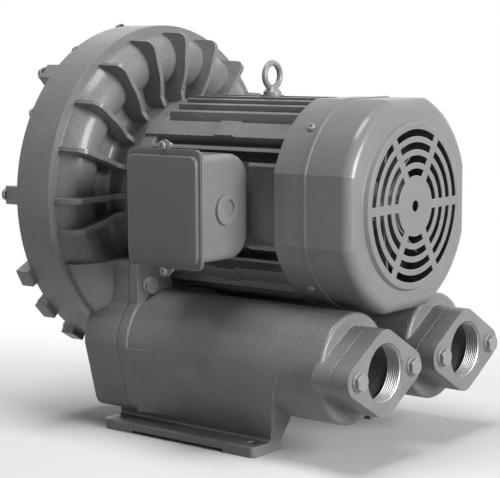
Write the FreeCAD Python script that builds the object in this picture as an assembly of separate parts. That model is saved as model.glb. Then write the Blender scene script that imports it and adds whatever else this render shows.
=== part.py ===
import FreeCAD, Part
import math
import os

# Side channel blower with two silencer feet, 2 inch threaded ports and a flanged, fan-cooled motor.
# Millimetres. X runs along the shaft towards the fan cowl, -Y is the terminal box side, Z is up.
# The origin is the centre of the foot hole pattern, on the floor.

# Main layout
PORT_HEIGHT = 97.0
PORT_SPACING = 155.0
PORT_FACE_X = 234.4
TUBE_RADIUS = 58.0
SEAM_X = -77.0

# Clearances between neighbouring pieces
THREAD_GAP = 0.1
SLIP_GAP = 0.2
RUNNING_GAP = 0.06
GASKET = 1.0

# Wheel of the blower
WHEEL_MID_X = -151.3
WHEEL_WIDTH = 29.0
WHEEL_TO_RIM = 15.0
WHEEL_SIDE_GAP = 0.4
WHEEL_TIP_GAP = 0.5
WHEEL_HUB_RADIUS = 30.0
WHEEL_DISC_WIDTH = 12.0
BLADE_COUNT = 36
BLADE_SHARE = 0.17
POCKET_RIM = 3.5
POCKET_SHIFT = 2.5
POCKET_WEB = 5.0

# Impeller casing
RIM_RADIUS = 189.0
RIM_FRONT_X = -126.6
RIM_BACK_X = -176.0
CHANNEL_TO_RIM = 39.0
CHANNEL_RADIUS = 24.5
CHANNEL_WALL = 5.0
CHANNEL_SWEEP = 280.0
DISC_WALL = 12.0
NECK_RADIUS = 101.0
NECK_WALL = 8.0
NECK_END_X = -85.6
NECK_FLANGE = 10.0
NECK_FLANGE_BORE = 70.0
NECK_ROOT_ARC = 9.0
RIB_THICK = 5.0
RIB_PITCH = 18.0
RIB_HALF_SPAN = 90.0
RIB_REACH = 15.5
RIB_RIM_INSET = 8.0
LOWER_RIB_ANGLES = (191.0,)
BULGE_RADIUS = 36.0
SEAL_RADIUS = 26.0
SEAL_BORE = 20.0
SEAL_WIDTH = 8.0
CASING_HUB_RADIUS = 32.0
CASING_HUB_FRONT = 8.0

# Manifold at the foot of the casing
SHELL_STEP = 2.5
SHELL_BOTTOM = 21.5
SHELL_TAPER = 19.0
SHELL_CORNER = 15.0
MANIFOLD_HALF_WIDTH = 118.0
MANIFOLD_TOP_GAP = 0.5
MANIFOLD_FLOOR = 62.0
MANIFOLD_CORNER = 7.0
MANIFOLD_BORE = 45.0
DUCT_RISE = 73.0
DUCT_WIDTH = 35.0
DUCT_DEPTH = 26.0
MANIFOLD_WALL = 5.6
LOBE_INNER = 62.0
LOBE_GAP = 1.5

# Casing cover
COVER_THICK = 10.0
REGISTER_TO_RIM = 11.0
COVER_RIBS = 12
LUG_ANGLES = (1.0, 47.0, 90.0, 133.0, 179.0, 208.0, 223.0, 239.0, 301.0, 317.0, 332.0)
RIM_BOLT_ANGLES = (30.0, 60.0, 120.0, 150.0)
LUG_WIDTH = 20.0
LUG_HEIGHT = 17.5
LUG_DROP = 6.0
COVER_BOLT = 8
COVER_BOLT_TO_RIM = 5.3
RIM_BOLT = 6
RIM_BOLT_TO_RIM = 4.7

# Silencers
TUBE_WALL = 6.0
TUBE_END_X = 196.4
TUBE_EDGE = 4.0
SILENCER_FLANGE = 13.0
FOOT_LENGTH = 214.0
FOOT_OUTER = 130.0
FOOT_THICK = 11.5
FOOT_CORNER = 6.0
FOOT_RECESS_LENGTH = 131.0
FOOT_RECESS_DEPTH = 3.5
HOLE_SPACING_X = 185.0
HOLE_SPACING_Y = 225.0
HOLE_RADIUS = 5.5
WEB_OUTER = 101.0
WEB_INNER = 83.0
WEB_SKIN = 1.5
RUNOUT = 60.0
WEB_ROOT = 5.0
WEB_LEAN_FRONT = 38.0
WEB_LEAN_BACK = 27.0
EAR_RADIUS = 11.5
EAR_REACH = 10.5
EAR_ANGLES = (110.0, 25.0, 290.0)
SILENCER_BOLT = 10
LINER_BORE = 33.0
LINER_END_GAP = 1.0

# Port flanges
FLANGE_THICK = 20.0
FLANGE_HALF_WIDTH = 65.0
FLANGE_HALF_HEIGHT = 45.0
FLANGE_TIP_ARC = 17.0
FLANGE_TOP_ARC = 20.0
PORT_BORE = 29.8
PORT_CHAMFER = 1.8
FLANGE_BOLT = 10
FLANGE_BOLT_OFFSET = 48.0

# Motor frame
FRAME_BACK_X = -65.6
FRAME_FRONT_X = 118.4
FIN_RADIUS = 110.5
FIN_ROOT = 90.0
FIN_THICK = 3.2
FIN_PITCH = 14.4
FIN_PAIRS = 4
STATOR_RADIUS = 84.0
LAND_HALF_WIDTH = 10.0
LAND_DISTANCE = 108.5
PAD_RAISE = 2.5
PAD_LENGTH = 26.0
PAD_X = 32.0
BOX_FLAT_HALF = 42.0
BOX_FLAT_DISTANCE = 93.0
BOX_MARGIN = 2.5
SHIELD_RADIUS = 106.0
SHIELD_LAND_X = -82.0
SHIELD_SCREW = 6
SHIELD_SCREW_LENGTH = 28.0
SHIELD_SCREW_CIRCLE = 96.0
NECK_SCREW = 8
NECK_SCREW_CIRCLE = 82.5
NECK_SCREW_BITE = 7.5
NECK_BOSS = 12.0
NECK_RECESS = 9.0
SHIELD_THICK = 12.6

# Motor inside
CORE_BACK_X = -30.0
CORE_LENGTH = 120.0
AIR_GAP = 0.4
ROTOR_RADIUS = 55.0
WINDING_INNER = 61.0
WINDING_OUTER = 79.0
WINDING_REACH = 24.0
SHAFT_CORE = 21.0
SHAFT_SEAT = 15.0
SHAFT_SHOULDER = 19.0
SHAFT_NOSE = 13.0
SHAFT_FAN = 12.0
BEARING_OUTER = 36.0
BEARING_WIDTH = 19.0
BEARING_RING = 4.6
BALL_COUNT = 8
CAGE_WIDTH = 7.0
DRIVE_BEARING_X = -84.0
FAN_BEARING_X = 111.0
BEARING_WALL = 8.0
BEARING_LIP = 3.0
BEARING_SHOULDER = 30.0
WASHER_THICK = 1.2

# Fan and cowl
COWL_BACK_X = 119.4
COWL_FRONT_X = 213.4
GRILLE_X = 218.4
COWL_RADIUS = 116.0
COWL_TO_TUBE = 4.68
COWL_FLAT = 110.0
COWL_WALL = 1.6
COWL_EDGE = 12.0
BEAD_X = 157.7
BEAD_WIDTH = 3.0
BEAD_HEIGHT = 0.9
GRILLE_DISC = 87.0
GRILLE_OUTER = 79.4
GRILLE_HUB = 31.5
GRILLE_ROWS = 4
GRILLE_BAR = 6.0
SPOKE_COUNT = 6
SPOKE_WIDTH = 9.0
GRILLE_HOLE = 6.0
COWL_SCREW = 5
COWL_SCREW_LENGTH = 13.0
COWL_SCREW_X = 146.0
COWL_POST = 9.0
COWL_POST_ROOT = 102.6
FAN_BACK_X = 142.0
FAN_RADIUS = 92.0
FAN_WIDTH = 34.0
FAN_HUB = 22.0
FAN_HUB_WIDTH = 28.0
FAN_PLATE = 2.5
FAN_BLADES = 9
FAN_BLADE_THICK = 2.5

# Terminal box
BOX_X = 30.4
BOX_WIDTH = 94.0
BOX_HEIGHT = 109.0
BOX_DEPTH = 78.0
BOX_SHEET = 1.6
BOX_CORNER = 8.0
BOX_BACK_ARC = 28.0
BOX_SEAL = 3.5
BOX_RAISE = 1.0
BOX_SCREW_EDGE = 6.5
LIP_OUT_X = 2.5
LIP_OUT_Z = 6.5
LID_DEPTH = 4.3
LID_CORNER = 4.5
EAR_OUT = 9.0
EAR_WIDTH = 13.0
LID_SCREW = 5
LID_SCREW_LENGTH = 9.0
KNOCKOUT_RADIUS = 15.5
KNOCKOUT_INNER = 7.5
KNOCKOUT_RAISE = 1.2
KNOCKOUT_INSET = 40.5
KNOCKOUT_SHIFT_Y = 3.5
KNOCKOUT_SHIFT_Z = 2.3
CABLE_TO_SCREW = 5.955
BOX_SCREW_LENGTH = 13.0
BOARD_LIFT = 8.0
BOARD_THICK = 8.0
BOARD_HALF_X = 18.0
BOARD_SIDE = 3.955
BOARD_HALF_Z = 34.0
BOARD_FOOT = 3.5
BOARD_FEET_Z = 21.0
STUD_PITCH = 11.0
STUD_ROW = 24.0

# Eye bolt
EYE_X = 32.0
EYE_PAD = 111.6
EYE_MEAN = 13.4
EYE_BAR = 3.3
EYE_COLLAR = 10.0
EYE_COLLAR_HEIGHT = 6.0
EYE_LIFT = 21.0
EYE_THREAD = 8

ACROSS_FLATS = 1.65
HEAD_SHARE = 0.65
SCREW_HEAD_ROOM = 8.2
ARC_INSET = 1 - math.sqrt(0.5)
CORNERS = (45, 135, 225, 315)

# Sizes worked out from the driving ones
AXIS_DISTANCE = COWL_RADIUS + TUBE_RADIUS + COWL_TO_TUBE
SHAFT_HEIGHT = PORT_HEIGHT + math.sqrt(AXIS_DISTANCE ** 2 - (PORT_SPACING / 2) ** 2)
CHANNEL_CIRCLE = RIM_RADIUS - CHANNEL_TO_RIM
WHEEL_RADIUS = RIM_RADIUS - WHEEL_TO_RIM
POCKET_OUTER = WHEEL_RADIUS - POCKET_RIM
POCKET_INNER = 2 * CHANNEL_CIRCLE - POCKET_OUTER - POCKET_SHIFT
COVER_REGISTER = RIM_RADIUS - REGISTER_TO_RIM
COVER_BOLT_CIRCLE = RIM_RADIUS - COVER_BOLT_TO_RIM
RIM_BOLT_CIRCLE = RIM_RADIUS - RIM_BOLT_TO_RIM
MANIFOLD_TOP = SHAFT_HEIGHT - NECK_FLANGE_BORE - MANIFOLD_TOP_GAP
BOX_SCREW_LIFT = BOX_HEIGHT / 2 - BOX_BACK_ARC - BOX_SCREW_EDGE
CABLE_HOLE = BOX_SCREW_LIFT - CABLE_TO_SCREW
SHELL_RADIUS = TUBE_RADIUS + SHELL_STEP
FRONT_FACE_X = WHEEL_MID_X + WHEEL_WIDTH / 2 + WHEEL_SIDE_GAP
BACK_FACE_X = WHEEL_MID_X - WHEEL_WIDTH / 2 - WHEEL_SIDE_GAP
DISC_FRONT_X = FRONT_FACE_X + DISC_WALL
WHEEL_BORE = WHEEL_RADIUS + WHEEL_TIP_GAP
CHANNEL_SHELL = CHANNEL_RADIUS + CHANNEL_WALL
MANIFOLD_END_X = SEAM_X - GASKET / 2
SILENCER_BACK_X = SEAM_X + GASKET / 2
FLANGE_BACK_X = PORT_FACE_X - FLANGE_THICK
NECK_FACE_X = FLANGE_BACK_X - GASKET
COVER_BACK_X = BACK_FACE_X - COVER_THICK
FRAME_MID_X = (FRAME_BACK_X + FRAME_FRONT_X) / 2
CORE_FRONT_X = CORE_BACK_X + CORE_LENGTH
SHIELD_FRONT_X = FRAME_FRONT_X + SHIELD_THICK
BOX_Z = SHAFT_HEIGHT + BOX_RAISE
BOX_BACK_Y = -BOX_FLAT_DISTANCE - BOX_SEAL
BOX_RIM_Y = BOX_BACK_Y - BOX_DEPTH
ALONG_X = FreeCAD.Vector(1, 0, 0)
ALONG_Y = FreeCAD.Vector(0, 1, 0)
ALONG_Z = FreeCAD.Vector(0, 0, 1)
SHAFT_POINT = FreeCAD.Vector(0, 0, SHAFT_HEIGHT)


def point(x, y, z):
    return FreeCAD.Vector(x, y, z)


def outline(place, start, *steps):
    """Closed wire of lines and arcs; a step of two points is an arc through the first one."""
    edges = []
    here = start
    for step in steps:
        if isinstance(step[0], tuple):
            through, end = step
            edges.append(Part.Arc(place(*here), place(*through), place(*end)).toShape())
        else:
            end = step
            edges.append(Part.makeLine(place(*here), place(*end)))
        here = end
    if here != start:
        edges.append(Part.makeLine(place(*here), place(*start)))
    return Part.Wire(edges)


def turned(start, *steps, y=0.0, z=SHAFT_HEIGHT, angle=360.0):
    """Solid turned about a line along X; the outline is given as x and radius."""
    wire = outline(lambda x, r: point(x, y, z + r), start, *steps)
    return Part.Face(wire).revolve(point(0, y, z), ALONG_X, angle)


def extruded_x(x0, x1, start, *steps):
    """Prism along X of an outline given as y and z."""
    wire = outline(lambda y, z: point(x0, y, z), start, *steps)
    return Part.Face(wire).extrude(point(x1 - x0, 0, 0))


def rod_x(radius, x0, x1, y=0.0, z=SHAFT_HEIGHT):
    return Part.makeCylinder(radius, x1 - x0, point(x0, y, z), ALONG_X)


def ring_x(outer, inner, x0, x1, y=0.0, z=SHAFT_HEIGHT):
    return rod_x(outer, x0, x1, y, z).cut(rod_x(inner, x0 - 1, x1 + 1, y, z))


def block(x0, x1, y0, y1, z0, z1):
    return Part.makeBox(x1 - x0, y1 - y0, z1 - z0, point(x0, y0, z0))


def around(shape, angle):
    """Copy turned about the shaft; angle 0 points along +Y and 90 points up."""
    copy = shape.copy()
    copy.rotate(SHAFT_POINT, ALONG_X, angle)
    return copy


def joined(shapes):
    return shapes[0].fuse(shapes[1:]).removeSplitter()


def other_side(shape):
    return shape.mirror(point(0, 0, 0), ALONG_Y)


def edges_along(shape, direction, keep):
    """Straight edges parallel to a direction whose middle point passes the test."""
    chosen = []
    for edge in shape.Edges:
        if edge.Curve.TypeId != "Part::GeomLine":
            continue
        run = edge.Vertexes[-1].Point - edge.Vertexes[0].Point
        middle = (edge.Vertexes[-1].Point + edge.Vertexes[0].Point) * 0.5
        if run.Length > 0 and abs(abs(run.normalize().dot(direction)) - 1) < 1e-6 and keep(middle):
            chosen.append(edge)
    return chosen


def polar_y(radius, angle, centre=0.0):
    return centre + radius * math.cos(math.radians(angle))


def polar_z(radius, angle, centre=SHAFT_HEIGHT):
    return centre + radius * math.sin(math.radians(angle))


def facing(shape, seat, direction):
    """Moves a shape made along +Z at the origin so that it stands on a seat point."""
    turn = FreeCAD.Rotation(ALONG_Z, direction)
    shape.Placement = FreeCAD.Placement(seat, turn)
    return shape


def hex_bolt(seat, direction, thread, length):
    corner = ACROSS_FLATS * thread / math.sqrt(3)
    corners = [point(polar_y(corner, 60 * k), polar_z(corner, 60 * k, 0), 0) for k in range(7)]
    head = Part.Face(Part.makePolygon(corners)).extrude(point(0, 0, HEAD_SHARE * thread))
    shank = Part.makeCylinder(thread / 2, length, point(0, 0, -length))
    return facing(head.fuse(shank), seat, direction)


def pan_screw(seat, direction, thread, length):
    head = Part.makeCylinder(thread * 0.9, thread * 0.6)
    shank = Part.makeCylinder(thread / 2, length, point(0, 0, -length))
    return facing(head.fuse(shank), seat, direction)


def screw_hole(seat, direction, thread, length):
    hole = Part.makeCylinder(thread / 2 + THREAD_GAP, length, point(0, 0, -length))
    return facing(hole, seat, direction)


def shell_section(centre, x0, x1):
    """Round-topped block with tapered sides, as the manifold and the silencers share it."""
    z_low = SHELL_BOTTOM
    half_low = SHELL_RADIUS - SHELL_TAPER
    body = extruded_x(
        x0, x1,
        (centre - SHELL_RADIUS, PORT_HEIGHT),
        ((centre, PORT_HEIGHT + SHELL_RADIUS), (centre + SHELL_RADIUS, PORT_HEIGHT)),
        (centre + half_low, z_low),
        (centre - half_low, z_low),
    )
    low = edges_along(body, ALONG_X, lambda p: p.z < z_low + 1)
    return body.makeFillet(SHELL_CORNER, low)


def ear_point(side, angle):
    """Centre of a silencer bolt ear, given on the +Y side and mirrored for the other."""
    mirrored = angle if side < 0 else 180 - angle
    centre = side * PORT_SPACING / 2
    reach = TUBE_RADIUS + EAR_REACH
    return polar_y(reach, mirrored, centre), polar_z(reach, mirrored, PORT_HEIGHT)


def silencer_ears(side, x0, x1):
    ears = []
    for angle in EAR_ANGLES:
        y, z = ear_point(side, angle)
        ears.append(rod_x(EAR_RADIUS, x0, x1, y, z))
    return ears


def silencer_bolt_holes(side):
    holes = []
    for angle in EAR_ANGLES:
        y, z = ear_point(side, angle)
        seat = point(SILENCER_BACK_X + SILENCER_FLANGE, y, z)
        holes.append(screw_hole(seat, ALONG_X, SILENCER_BOLT, SILENCER_FLANGE + 2.6 * SILENCER_BOLT))
    return holes


def channel(face_x, outward):
    """Half-round side channel, cut open over its sweep and left solid at the stripper."""
    section = Part.Face(Part.Wire(Part.makeCircle(
        CHANNEL_RADIUS, point(face_x, 0, SHAFT_HEIGHT + CHANNEL_CIRCLE), ALONG_Z.cross(ALONG_X))))
    swept = section.revolve(SHAFT_POINT, ALONG_X, CHANNEL_SWEEP)
    swept.rotate(SHAFT_POINT, ALONG_X, -CHANNEL_SWEEP / 2)
    half = rod_x(RIM_RADIUS, min(face_x, face_x + outward * RIM_RADIUS),
                 max(face_x, face_x + outward * RIM_RADIUS))
    return swept.common(half)


def bulge_radius(x):
    """Offset of the channel shell from its circle at a plane x, on the motor side."""
    return math.sqrt(CHANNEL_SHELL ** 2 - (x - FRONT_FACE_X) ** 2)


def casing_rib(angle):
    """Thin radial web that follows the channel shell a little proud of it."""
    top = RIM_RADIUS - RIB_RIM_INSET
    crest = FRONT_FACE_X + CHANNEL_SHELL + RIB_REACH
    inner = NECK_RADIUS - 2
    arc = 11.0
    place = lambda x, r: point(x, r, SHAFT_HEIGHT - RIB_THICK / 2)
    wire = outline(
        place,
        (RIM_FRONT_X - 2, top),
        (crest - arc, top - 1),
        ((crest - arc * ARC_INSET, top - arc * ARC_INSET - 1), (crest, top - arc - 1)),
        (crest - 1, CHANNEL_CIRCLE - 10),
        ((crest - 4, CHANNEL_CIRCLE - 24), (crest - 8, CHANNEL_CIRCLE - 36)),
        (crest - 5, inner),
        (RIM_FRONT_X - 2, inner),
    )
    return around(Part.Face(wire).extrude(point(0, 0, RIB_THICK)), angle)


def manifold(side):
    """One round-topped outlet block with the bolt bosses for its silencer."""
    centre = side * PORT_SPACING / 2
    body = shell_section(centre, RIM_FRONT_X, MANIFOLD_END_X)
    ears = silencer_ears(side, MANIFOLD_END_X - 3 * SILENCER_BOLT, MANIFOLD_END_X)
    return [body] + ears


def manifold_core():
    core = block(RIM_FRONT_X, MANIFOLD_END_X, -MANIFOLD_HALF_WIDTH, MANIFOLD_HALF_WIDTH,
                 MANIFOLD_FLOOR, MANIFOLD_TOP)
    upper = edges_along(core, ALONG_X, lambda p: p.z > MANIFOLD_FLOOR + 1)
    core = core.makeFillet(MANIFOLD_CORNER, upper)
    return core.cut(rod_x(FIN_RADIUS + LOBE_GAP, NECK_END_X, SEAM_X + 1))


def duct_bulge():
    """Wider shell around both ducts below the top of the manifold, inside the rim."""
    section = Part.Face(Part.Wire(Part.makeCircle(
        BULGE_RADIUS, point(FRONT_FACE_X, 0, SHAFT_HEIGHT - CHANNEL_CIRCLE), ALONG_Z.cross(ALONG_X))))
    ring = section.revolve(SHAFT_POINT, ALONG_X, 180)
    ring.rotate(SHAFT_POINT, ALONG_X, -90)
    reach = RIM_RADIUS - RIB_RIM_INSET
    room = rod_x(reach, RIM_FRONT_X - 1, SEAM_X)
    low = block(RIM_FRONT_X - 1, SEAM_X, -reach, reach, PORT_HEIGHT, MANIFOLD_TOP)
    return ring.common(room).common(low)


def manifold_lobe(side, x0, x1):
    """Shoulder beside the motor that the manifold, its gasket and the silencer flange share."""
    lobe = block(x0, x1, -MANIFOLD_HALF_WIDTH, -LOBE_INNER, PORT_HEIGHT, MANIFOLD_TOP)
    outer = edges_along(lobe, ALONG_X, lambda p: p.z > MANIFOLD_TOP - 1 and p.y < -LOBE_INNER - 1)
    lobe = lobe.makeFillet(MANIFOLD_CORNER, outer).cut(rod_x(FIN_RADIUS + LOBE_GAP, x0 - 1, x1 + 1))
    return lobe if side < 0 else other_side(lobe)


def duct(side):
    """Passage from the end of the side channel down to the silencer bore."""
    centre = side * PORT_SPACING / 2
    bore = rod_x(MANIFOLD_BORE, RIM_FRONT_X + MANIFOLD_WALL, SEAM_X + 1, centre, PORT_HEIGHT)
    y_out = side * (CHANNEL_CIRCLE * 0.5 + DUCT_WIDTH)
    y_in = side * CHANNEL_CIRCLE * 0.5
    rise = block(FRONT_FACE_X + 2, RIM_FRONT_X + DUCT_DEPTH, min(y_in, y_out), max(y_in, y_out),
                 PORT_HEIGHT, PORT_HEIGHT + DUCT_RISE)
    return [bore, rise]


def impeller_casing():
    foot_in = CHANNEL_CIRCLE - bulge_radius(DISC_FRONT_X)
    foot_out = CHANNEL_CIRCLE + bulge_radius(RIM_FRONT_X)
    neck_bore = NECK_RADIUS - NECK_WALL
    root_arc = min(NECK_ROOT_ARC, (foot_in - NECK_RADIUS) * 0.8)
    hub_x = DISC_FRONT_X + CASING_HUB_FRONT
    shell = turned(
        (NECK_END_X, NECK_RADIUS),
        (DISC_FRONT_X + root_arc, NECK_RADIUS),
        ((DISC_FRONT_X + root_arc * ARC_INSET, NECK_RADIUS + root_arc * ARC_INSET),
         (DISC_FRONT_X, NECK_RADIUS + root_arc)),
        (DISC_FRONT_X, foot_in),
        ((FRONT_FACE_X + CHANNEL_SHELL, CHANNEL_CIRCLE), (RIM_FRONT_X, foot_out)),
        (RIM_FRONT_X, RIM_RADIUS),
        (RIM_BACK_X, RIM_RADIUS),
        (RIM_BACK_X, COVER_REGISTER + SLIP_GAP),
        (BACK_FACE_X, COVER_REGISTER + SLIP_GAP),
        (BACK_FACE_X, WHEEL_BORE),
        (FRONT_FACE_X, WHEEL_BORE),
        (FRONT_FACE_X, SEAL_BORE),
        (hub_x - SEAL_WIDTH, SEAL_BORE),
        (hub_x - SEAL_WIDTH, SEAL_RADIUS),
        (hub_x, SEAL_RADIUS),
        (hub_x, CASING_HUB_RADIUS),
        (DISC_FRONT_X, CASING_HUB_RADIUS),
        (DISC_FRONT_X, neck_bore),
        (NECK_END_X - NECK_FLANGE, neck_bore),
        (NECK_END_X - NECK_FLANGE, NECK_FLANGE_BORE),
        (NECK_END_X, NECK_FLANGE_BORE),
    )
    rib_angles = [k * RIB_PITCH for k in range(int(2 * RIB_HALF_SPAN / RIB_PITCH) + 1)]
    for angle in LOWER_RIB_ANGLES:
        rib_angles += [angle, 180 - angle]
    ribs = [casing_rib(angle) for angle in rib_angles]
    bosses = []
    for seat in neck_screw_seats():
        bosses.append(rod_x(NECK_BOSS, DISC_FRONT_X - 1, NECK_END_X - 1, seat.y, seat.z))
    body = joined([shell, manifold_core(), duct_bulge()] + manifold(-1) + manifold(1) + ribs)
    wheel_room = rod_x(WHEEL_BORE, BACK_FACE_X, FRONT_FACE_X)
    inside_neck = rod_x(neck_bore, DISC_FRONT_X, NECK_END_X - NECK_FLANGE)
    inside_neck = inside_neck.cut(bosses + [rod_x(CASING_HUB_RADIUS, DISC_FRONT_X, hub_x)])
    tools = [channel(FRONT_FACE_X, 1), wheel_room, inside_neck]
    tools += duct(-1) + duct(1) + silencer_bolt_holes(-1) + silencer_bolt_holes(1)
    tools += cover_bolt_holes()
    for seat in neck_screw_seats():
        tools.append(rod_x(SCREW_HEAD_ROOM, FRONT_FACE_X - 1, seat.x, seat.y, seat.z))
        tools.append(screw_hole(seat, -ALONG_X, NECK_SCREW, NECK_END_X - seat.x + 1))
    return body.cut(tools)


def cover_bolt_seats():
    """Seat, thread and depth of each cover bolt: on the lugs, and smaller on the bare rim."""
    seats = []
    for angle in LUG_ANGLES:
        x = RIM_BACK_X - SLIP_GAP - LUG_HEIGHT
        seat = point(x, polar_y(COVER_BOLT_CIRCLE, angle), polar_z(COVER_BOLT_CIRCLE, angle))
        seats.append((seat, COVER_BOLT, LUG_HEIGHT + 2.5 * COVER_BOLT))
    for angle in RIM_BOLT_ANGLES:
        seat = point(RIM_BACK_X, polar_y(RIM_BOLT_CIRCLE, angle), polar_z(RIM_BOLT_CIRCLE, angle))
        seats.append((seat, RIM_BOLT, 2.5 * RIM_BOLT))
    return seats


def cover_bolt_holes():
    return [screw_hole(seat, -ALONG_X, thread, depth) for seat, thread, depth in cover_bolt_seats()]


def cover_bolts():
    bolts = [hex_bolt(seat, -ALONG_X, thread, depth - 1) for seat, thread, depth in cover_bolt_seats()]
    return Part.makeCompound(bolts)


def cover_lug(angle):
    drop = LUG_DROP if 180 < angle < 360 else 0.0
    back = RIM_BACK_X - SLIP_GAP
    lug = block(back - LUG_HEIGHT, back, CHANNEL_CIRCLE + 5, RIM_RADIUS + drop,
                SHAFT_HEIGHT - LUG_WIDTH / 2, SHAFT_HEIGHT + LUG_WIDTH / 2)
    return around(lug, angle)


def cover_rib(angle):
    back = BACK_FACE_X - CHANNEL_SHELL
    rib = block(back, COVER_BACK_X + 1, SHAFT_NOSE + 20, CHANNEL_CIRCLE - 10,
                SHAFT_HEIGHT - RIB_THICK / 2, SHAFT_HEIGHT + RIB_THICK / 2)
    return around(rib, angle)


def casing_cover():
    bulge = math.sqrt(CHANNEL_SHELL ** 2 - COVER_THICK ** 2)
    dome_x = COVER_BACK_X - 16
    dome = WHEEL_HUB_RADIUS + 14
    inside = WHEEL_HUB_RADIUS + 4
    plate = turned(
        (BACK_FACE_X, inside),
        (BACK_FACE_X, WHEEL_BORE - 1),
        (BACK_FACE_X - GASKET, WHEEL_BORE - 1),
        (BACK_FACE_X - GASKET, COVER_REGISTER),
        (COVER_BACK_X, COVER_REGISTER),
        (COVER_BACK_X, CHANNEL_CIRCLE + bulge),
        ((BACK_FACE_X - CHANNEL_SHELL, CHANNEL_CIRCLE), (COVER_BACK_X, CHANNEL_CIRCLE - bulge)),
        (COVER_BACK_X, dome),
        (dome_x, dome - 8),
        (dome_x, 0),
        (dome_x + 6, 0),
        (dome_x + 6, inside),
    )
    lugs = [cover_lug(angle) for angle in LUG_ANGLES]
    ribs = [cover_rib(k * 360.0 / COVER_RIBS) for k in range(COVER_RIBS)]
    body = joined([plate] + lugs + ribs)
    tools = [channel(BACK_FACE_X, -1), rod_x(inside, dome_x + 6, BACK_FACE_X)]
    tools += cover_bolt_holes()
    return body.cut(tools)


def cover_gasket():
    return ring_x(COVER_REGISTER, WHEEL_BORE + 0.5, BACK_FACE_X - GASKET, BACK_FACE_X)


def impeller():
    half = WHEEL_WIDTH / 2
    disc = WHEEL_DISC_WIDTH / 2
    back = WHEEL_MID_X - half
    front = WHEEL_MID_X + half
    wheel = turned(
        (back, SHAFT_NOSE + SLIP_GAP),
        (back, WHEEL_HUB_RADIUS),
        (WHEEL_MID_X - disc, WHEEL_HUB_RADIUS + 6),
        (WHEEL_MID_X - disc, POCKET_INNER - 12),
        (back, POCKET_INNER - 8),
        (back, WHEEL_RADIUS),
        (front, WHEEL_RADIUS),
        (front, POCKET_INNER - 8),
        (WHEEL_MID_X + disc, POCKET_INNER - 12),
        (WHEEL_MID_X + disc, WHEEL_HUB_RADIUS + 6),
        (front, WHEEL_HUB_RADIUS),
        (front, SHAFT_NOSE + SLIP_GAP),
    )
    pitch = 360.0 / BLADE_COUNT
    pockets = []
    for end, floor in ((front + 1, WHEEL_MID_X + POCKET_WEB / 2), (back - 1, WHEEL_MID_X - POCKET_WEB / 2)):
        pocket = turned(
            (end, POCKET_INNER),
            (floor, POCKET_INNER + 14),
            (floor, POCKET_OUTER - 14),
            (end, POCKET_OUTER),
            angle=pitch * (1 - BLADE_SHARE),
        )
        pockets += [around(pocket, k * pitch) for k in range(BLADE_COUNT)]
    return wheel.cut(pockets + [key_slot(SLIP_GAP)])


def key_slot(gap):
    """Key between shaft nose and impeller; with a gap it is the slot that holds it."""
    half = WHEEL_WIDTH / 2 - 2
    return block(WHEEL_MID_X - half - gap, WHEEL_MID_X + half + gap, -4 - gap, 4 + gap,
                 SHAFT_HEIGHT + SHAFT_NOSE - 4 - gap, SHAFT_HEIGHT + SHAFT_NOSE + 3 + gap)


def impeller_key():
    return key_slot(0.0)


def impeller_washer():
    back = WHEEL_MID_X - WHEEL_WIDTH / 2
    return ring_x(WHEEL_HUB_RADIUS - 6, NECK_SCREW / 2 + THREAD_GAP, back - 4, back)


def impeller_bolt():
    seat = point(WHEEL_MID_X - WHEEL_WIDTH / 2 - 4, 0, SHAFT_HEIGHT)
    return hex_bolt(seat, -ALONG_X, NECK_SCREW, 26)


def shaft():
    nose_x = WHEEL_MID_X - WHEEL_WIDTH / 2
    step_x = WHEEL_MID_X + WHEEL_WIDTH / 2
    fan_x = FAN_BEARING_X + BEARING_WIDTH
    body = turned(
        (nose_x, 0),
        (nose_x, SHAFT_NOSE),
        (step_x, SHAFT_NOSE),
        (step_x, SHAFT_SEAT),
        (DRIVE_BEARING_X + BEARING_WIDTH, SHAFT_SEAT),
        (DRIVE_BEARING_X + BEARING_WIDTH, SHAFT_SHOULDER),
        (CORE_BACK_X, SHAFT_SHOULDER),
        (CORE_BACK_X, SHAFT_CORE),
        (CORE_FRONT_X, SHAFT_CORE),
        (CORE_FRONT_X, SHAFT_SHOULDER),
        (FAN_BEARING_X, SHAFT_SHOULDER),
        (FAN_BEARING_X, SHAFT_SEAT),
        (fan_x, SHAFT_SEAT),
        (fan_x, SHAFT_NOSE),
        (FAN_BACK_X, SHAFT_NOSE),
        (FAN_BACK_X, SHAFT_FAN),
        (FAN_BACK_X + FAN_WIDTH + 4, SHAFT_FAN),
        (FAN_BACK_X + FAN_WIDTH + 4, 0),
    )
    bolt_room = screw_hole(point(nose_x, 0, SHAFT_HEIGHT), -ALONG_X, NECK_SCREW, 24)
    clip_groove = ring_x(SHAFT_FAN + 1, SHAFT_FAN - 0.8, FAN_BACK_X + FAN_HUB_WIDTH, FAN_BACK_X + FAN_HUB_WIDTH + 1.2)
    return body.cut([key_slot(SLIP_GAP), bolt_room, clip_groove])


def shaft_seal():
    hub_x = DISC_FRONT_X + CASING_HUB_FRONT
    return ring_x(SEAL_RADIUS, SHAFT_SEAT + RUNNING_GAP, hub_x - SEAL_WIDTH, hub_x - 1)


def rotor_core():
    cage = ring_x(ROTOR_RADIUS - 8, SHAFT_CORE + 6, CORE_BACK_X - 8, CORE_FRONT_X + 8)
    core = ring_x(ROTOR_RADIUS, SHAFT_CORE, CORE_BACK_X, CORE_FRONT_X)
    return joined([core, cage])


def stator_core():
    return ring_x(STATOR_RADIUS, ROTOR_RADIUS + AIR_GAP, CORE_BACK_X, CORE_FRONT_X)


def stator_windings():
    back = ring_x(WINDING_OUTER, WINDING_INNER, CORE_BACK_X - WINDING_REACH, CORE_BACK_X)
    front = ring_x(WINDING_OUTER, WINDING_INNER, CORE_FRONT_X, CORE_FRONT_X + WINDING_REACH)
    return Part.makeCompound([back, front])


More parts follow.
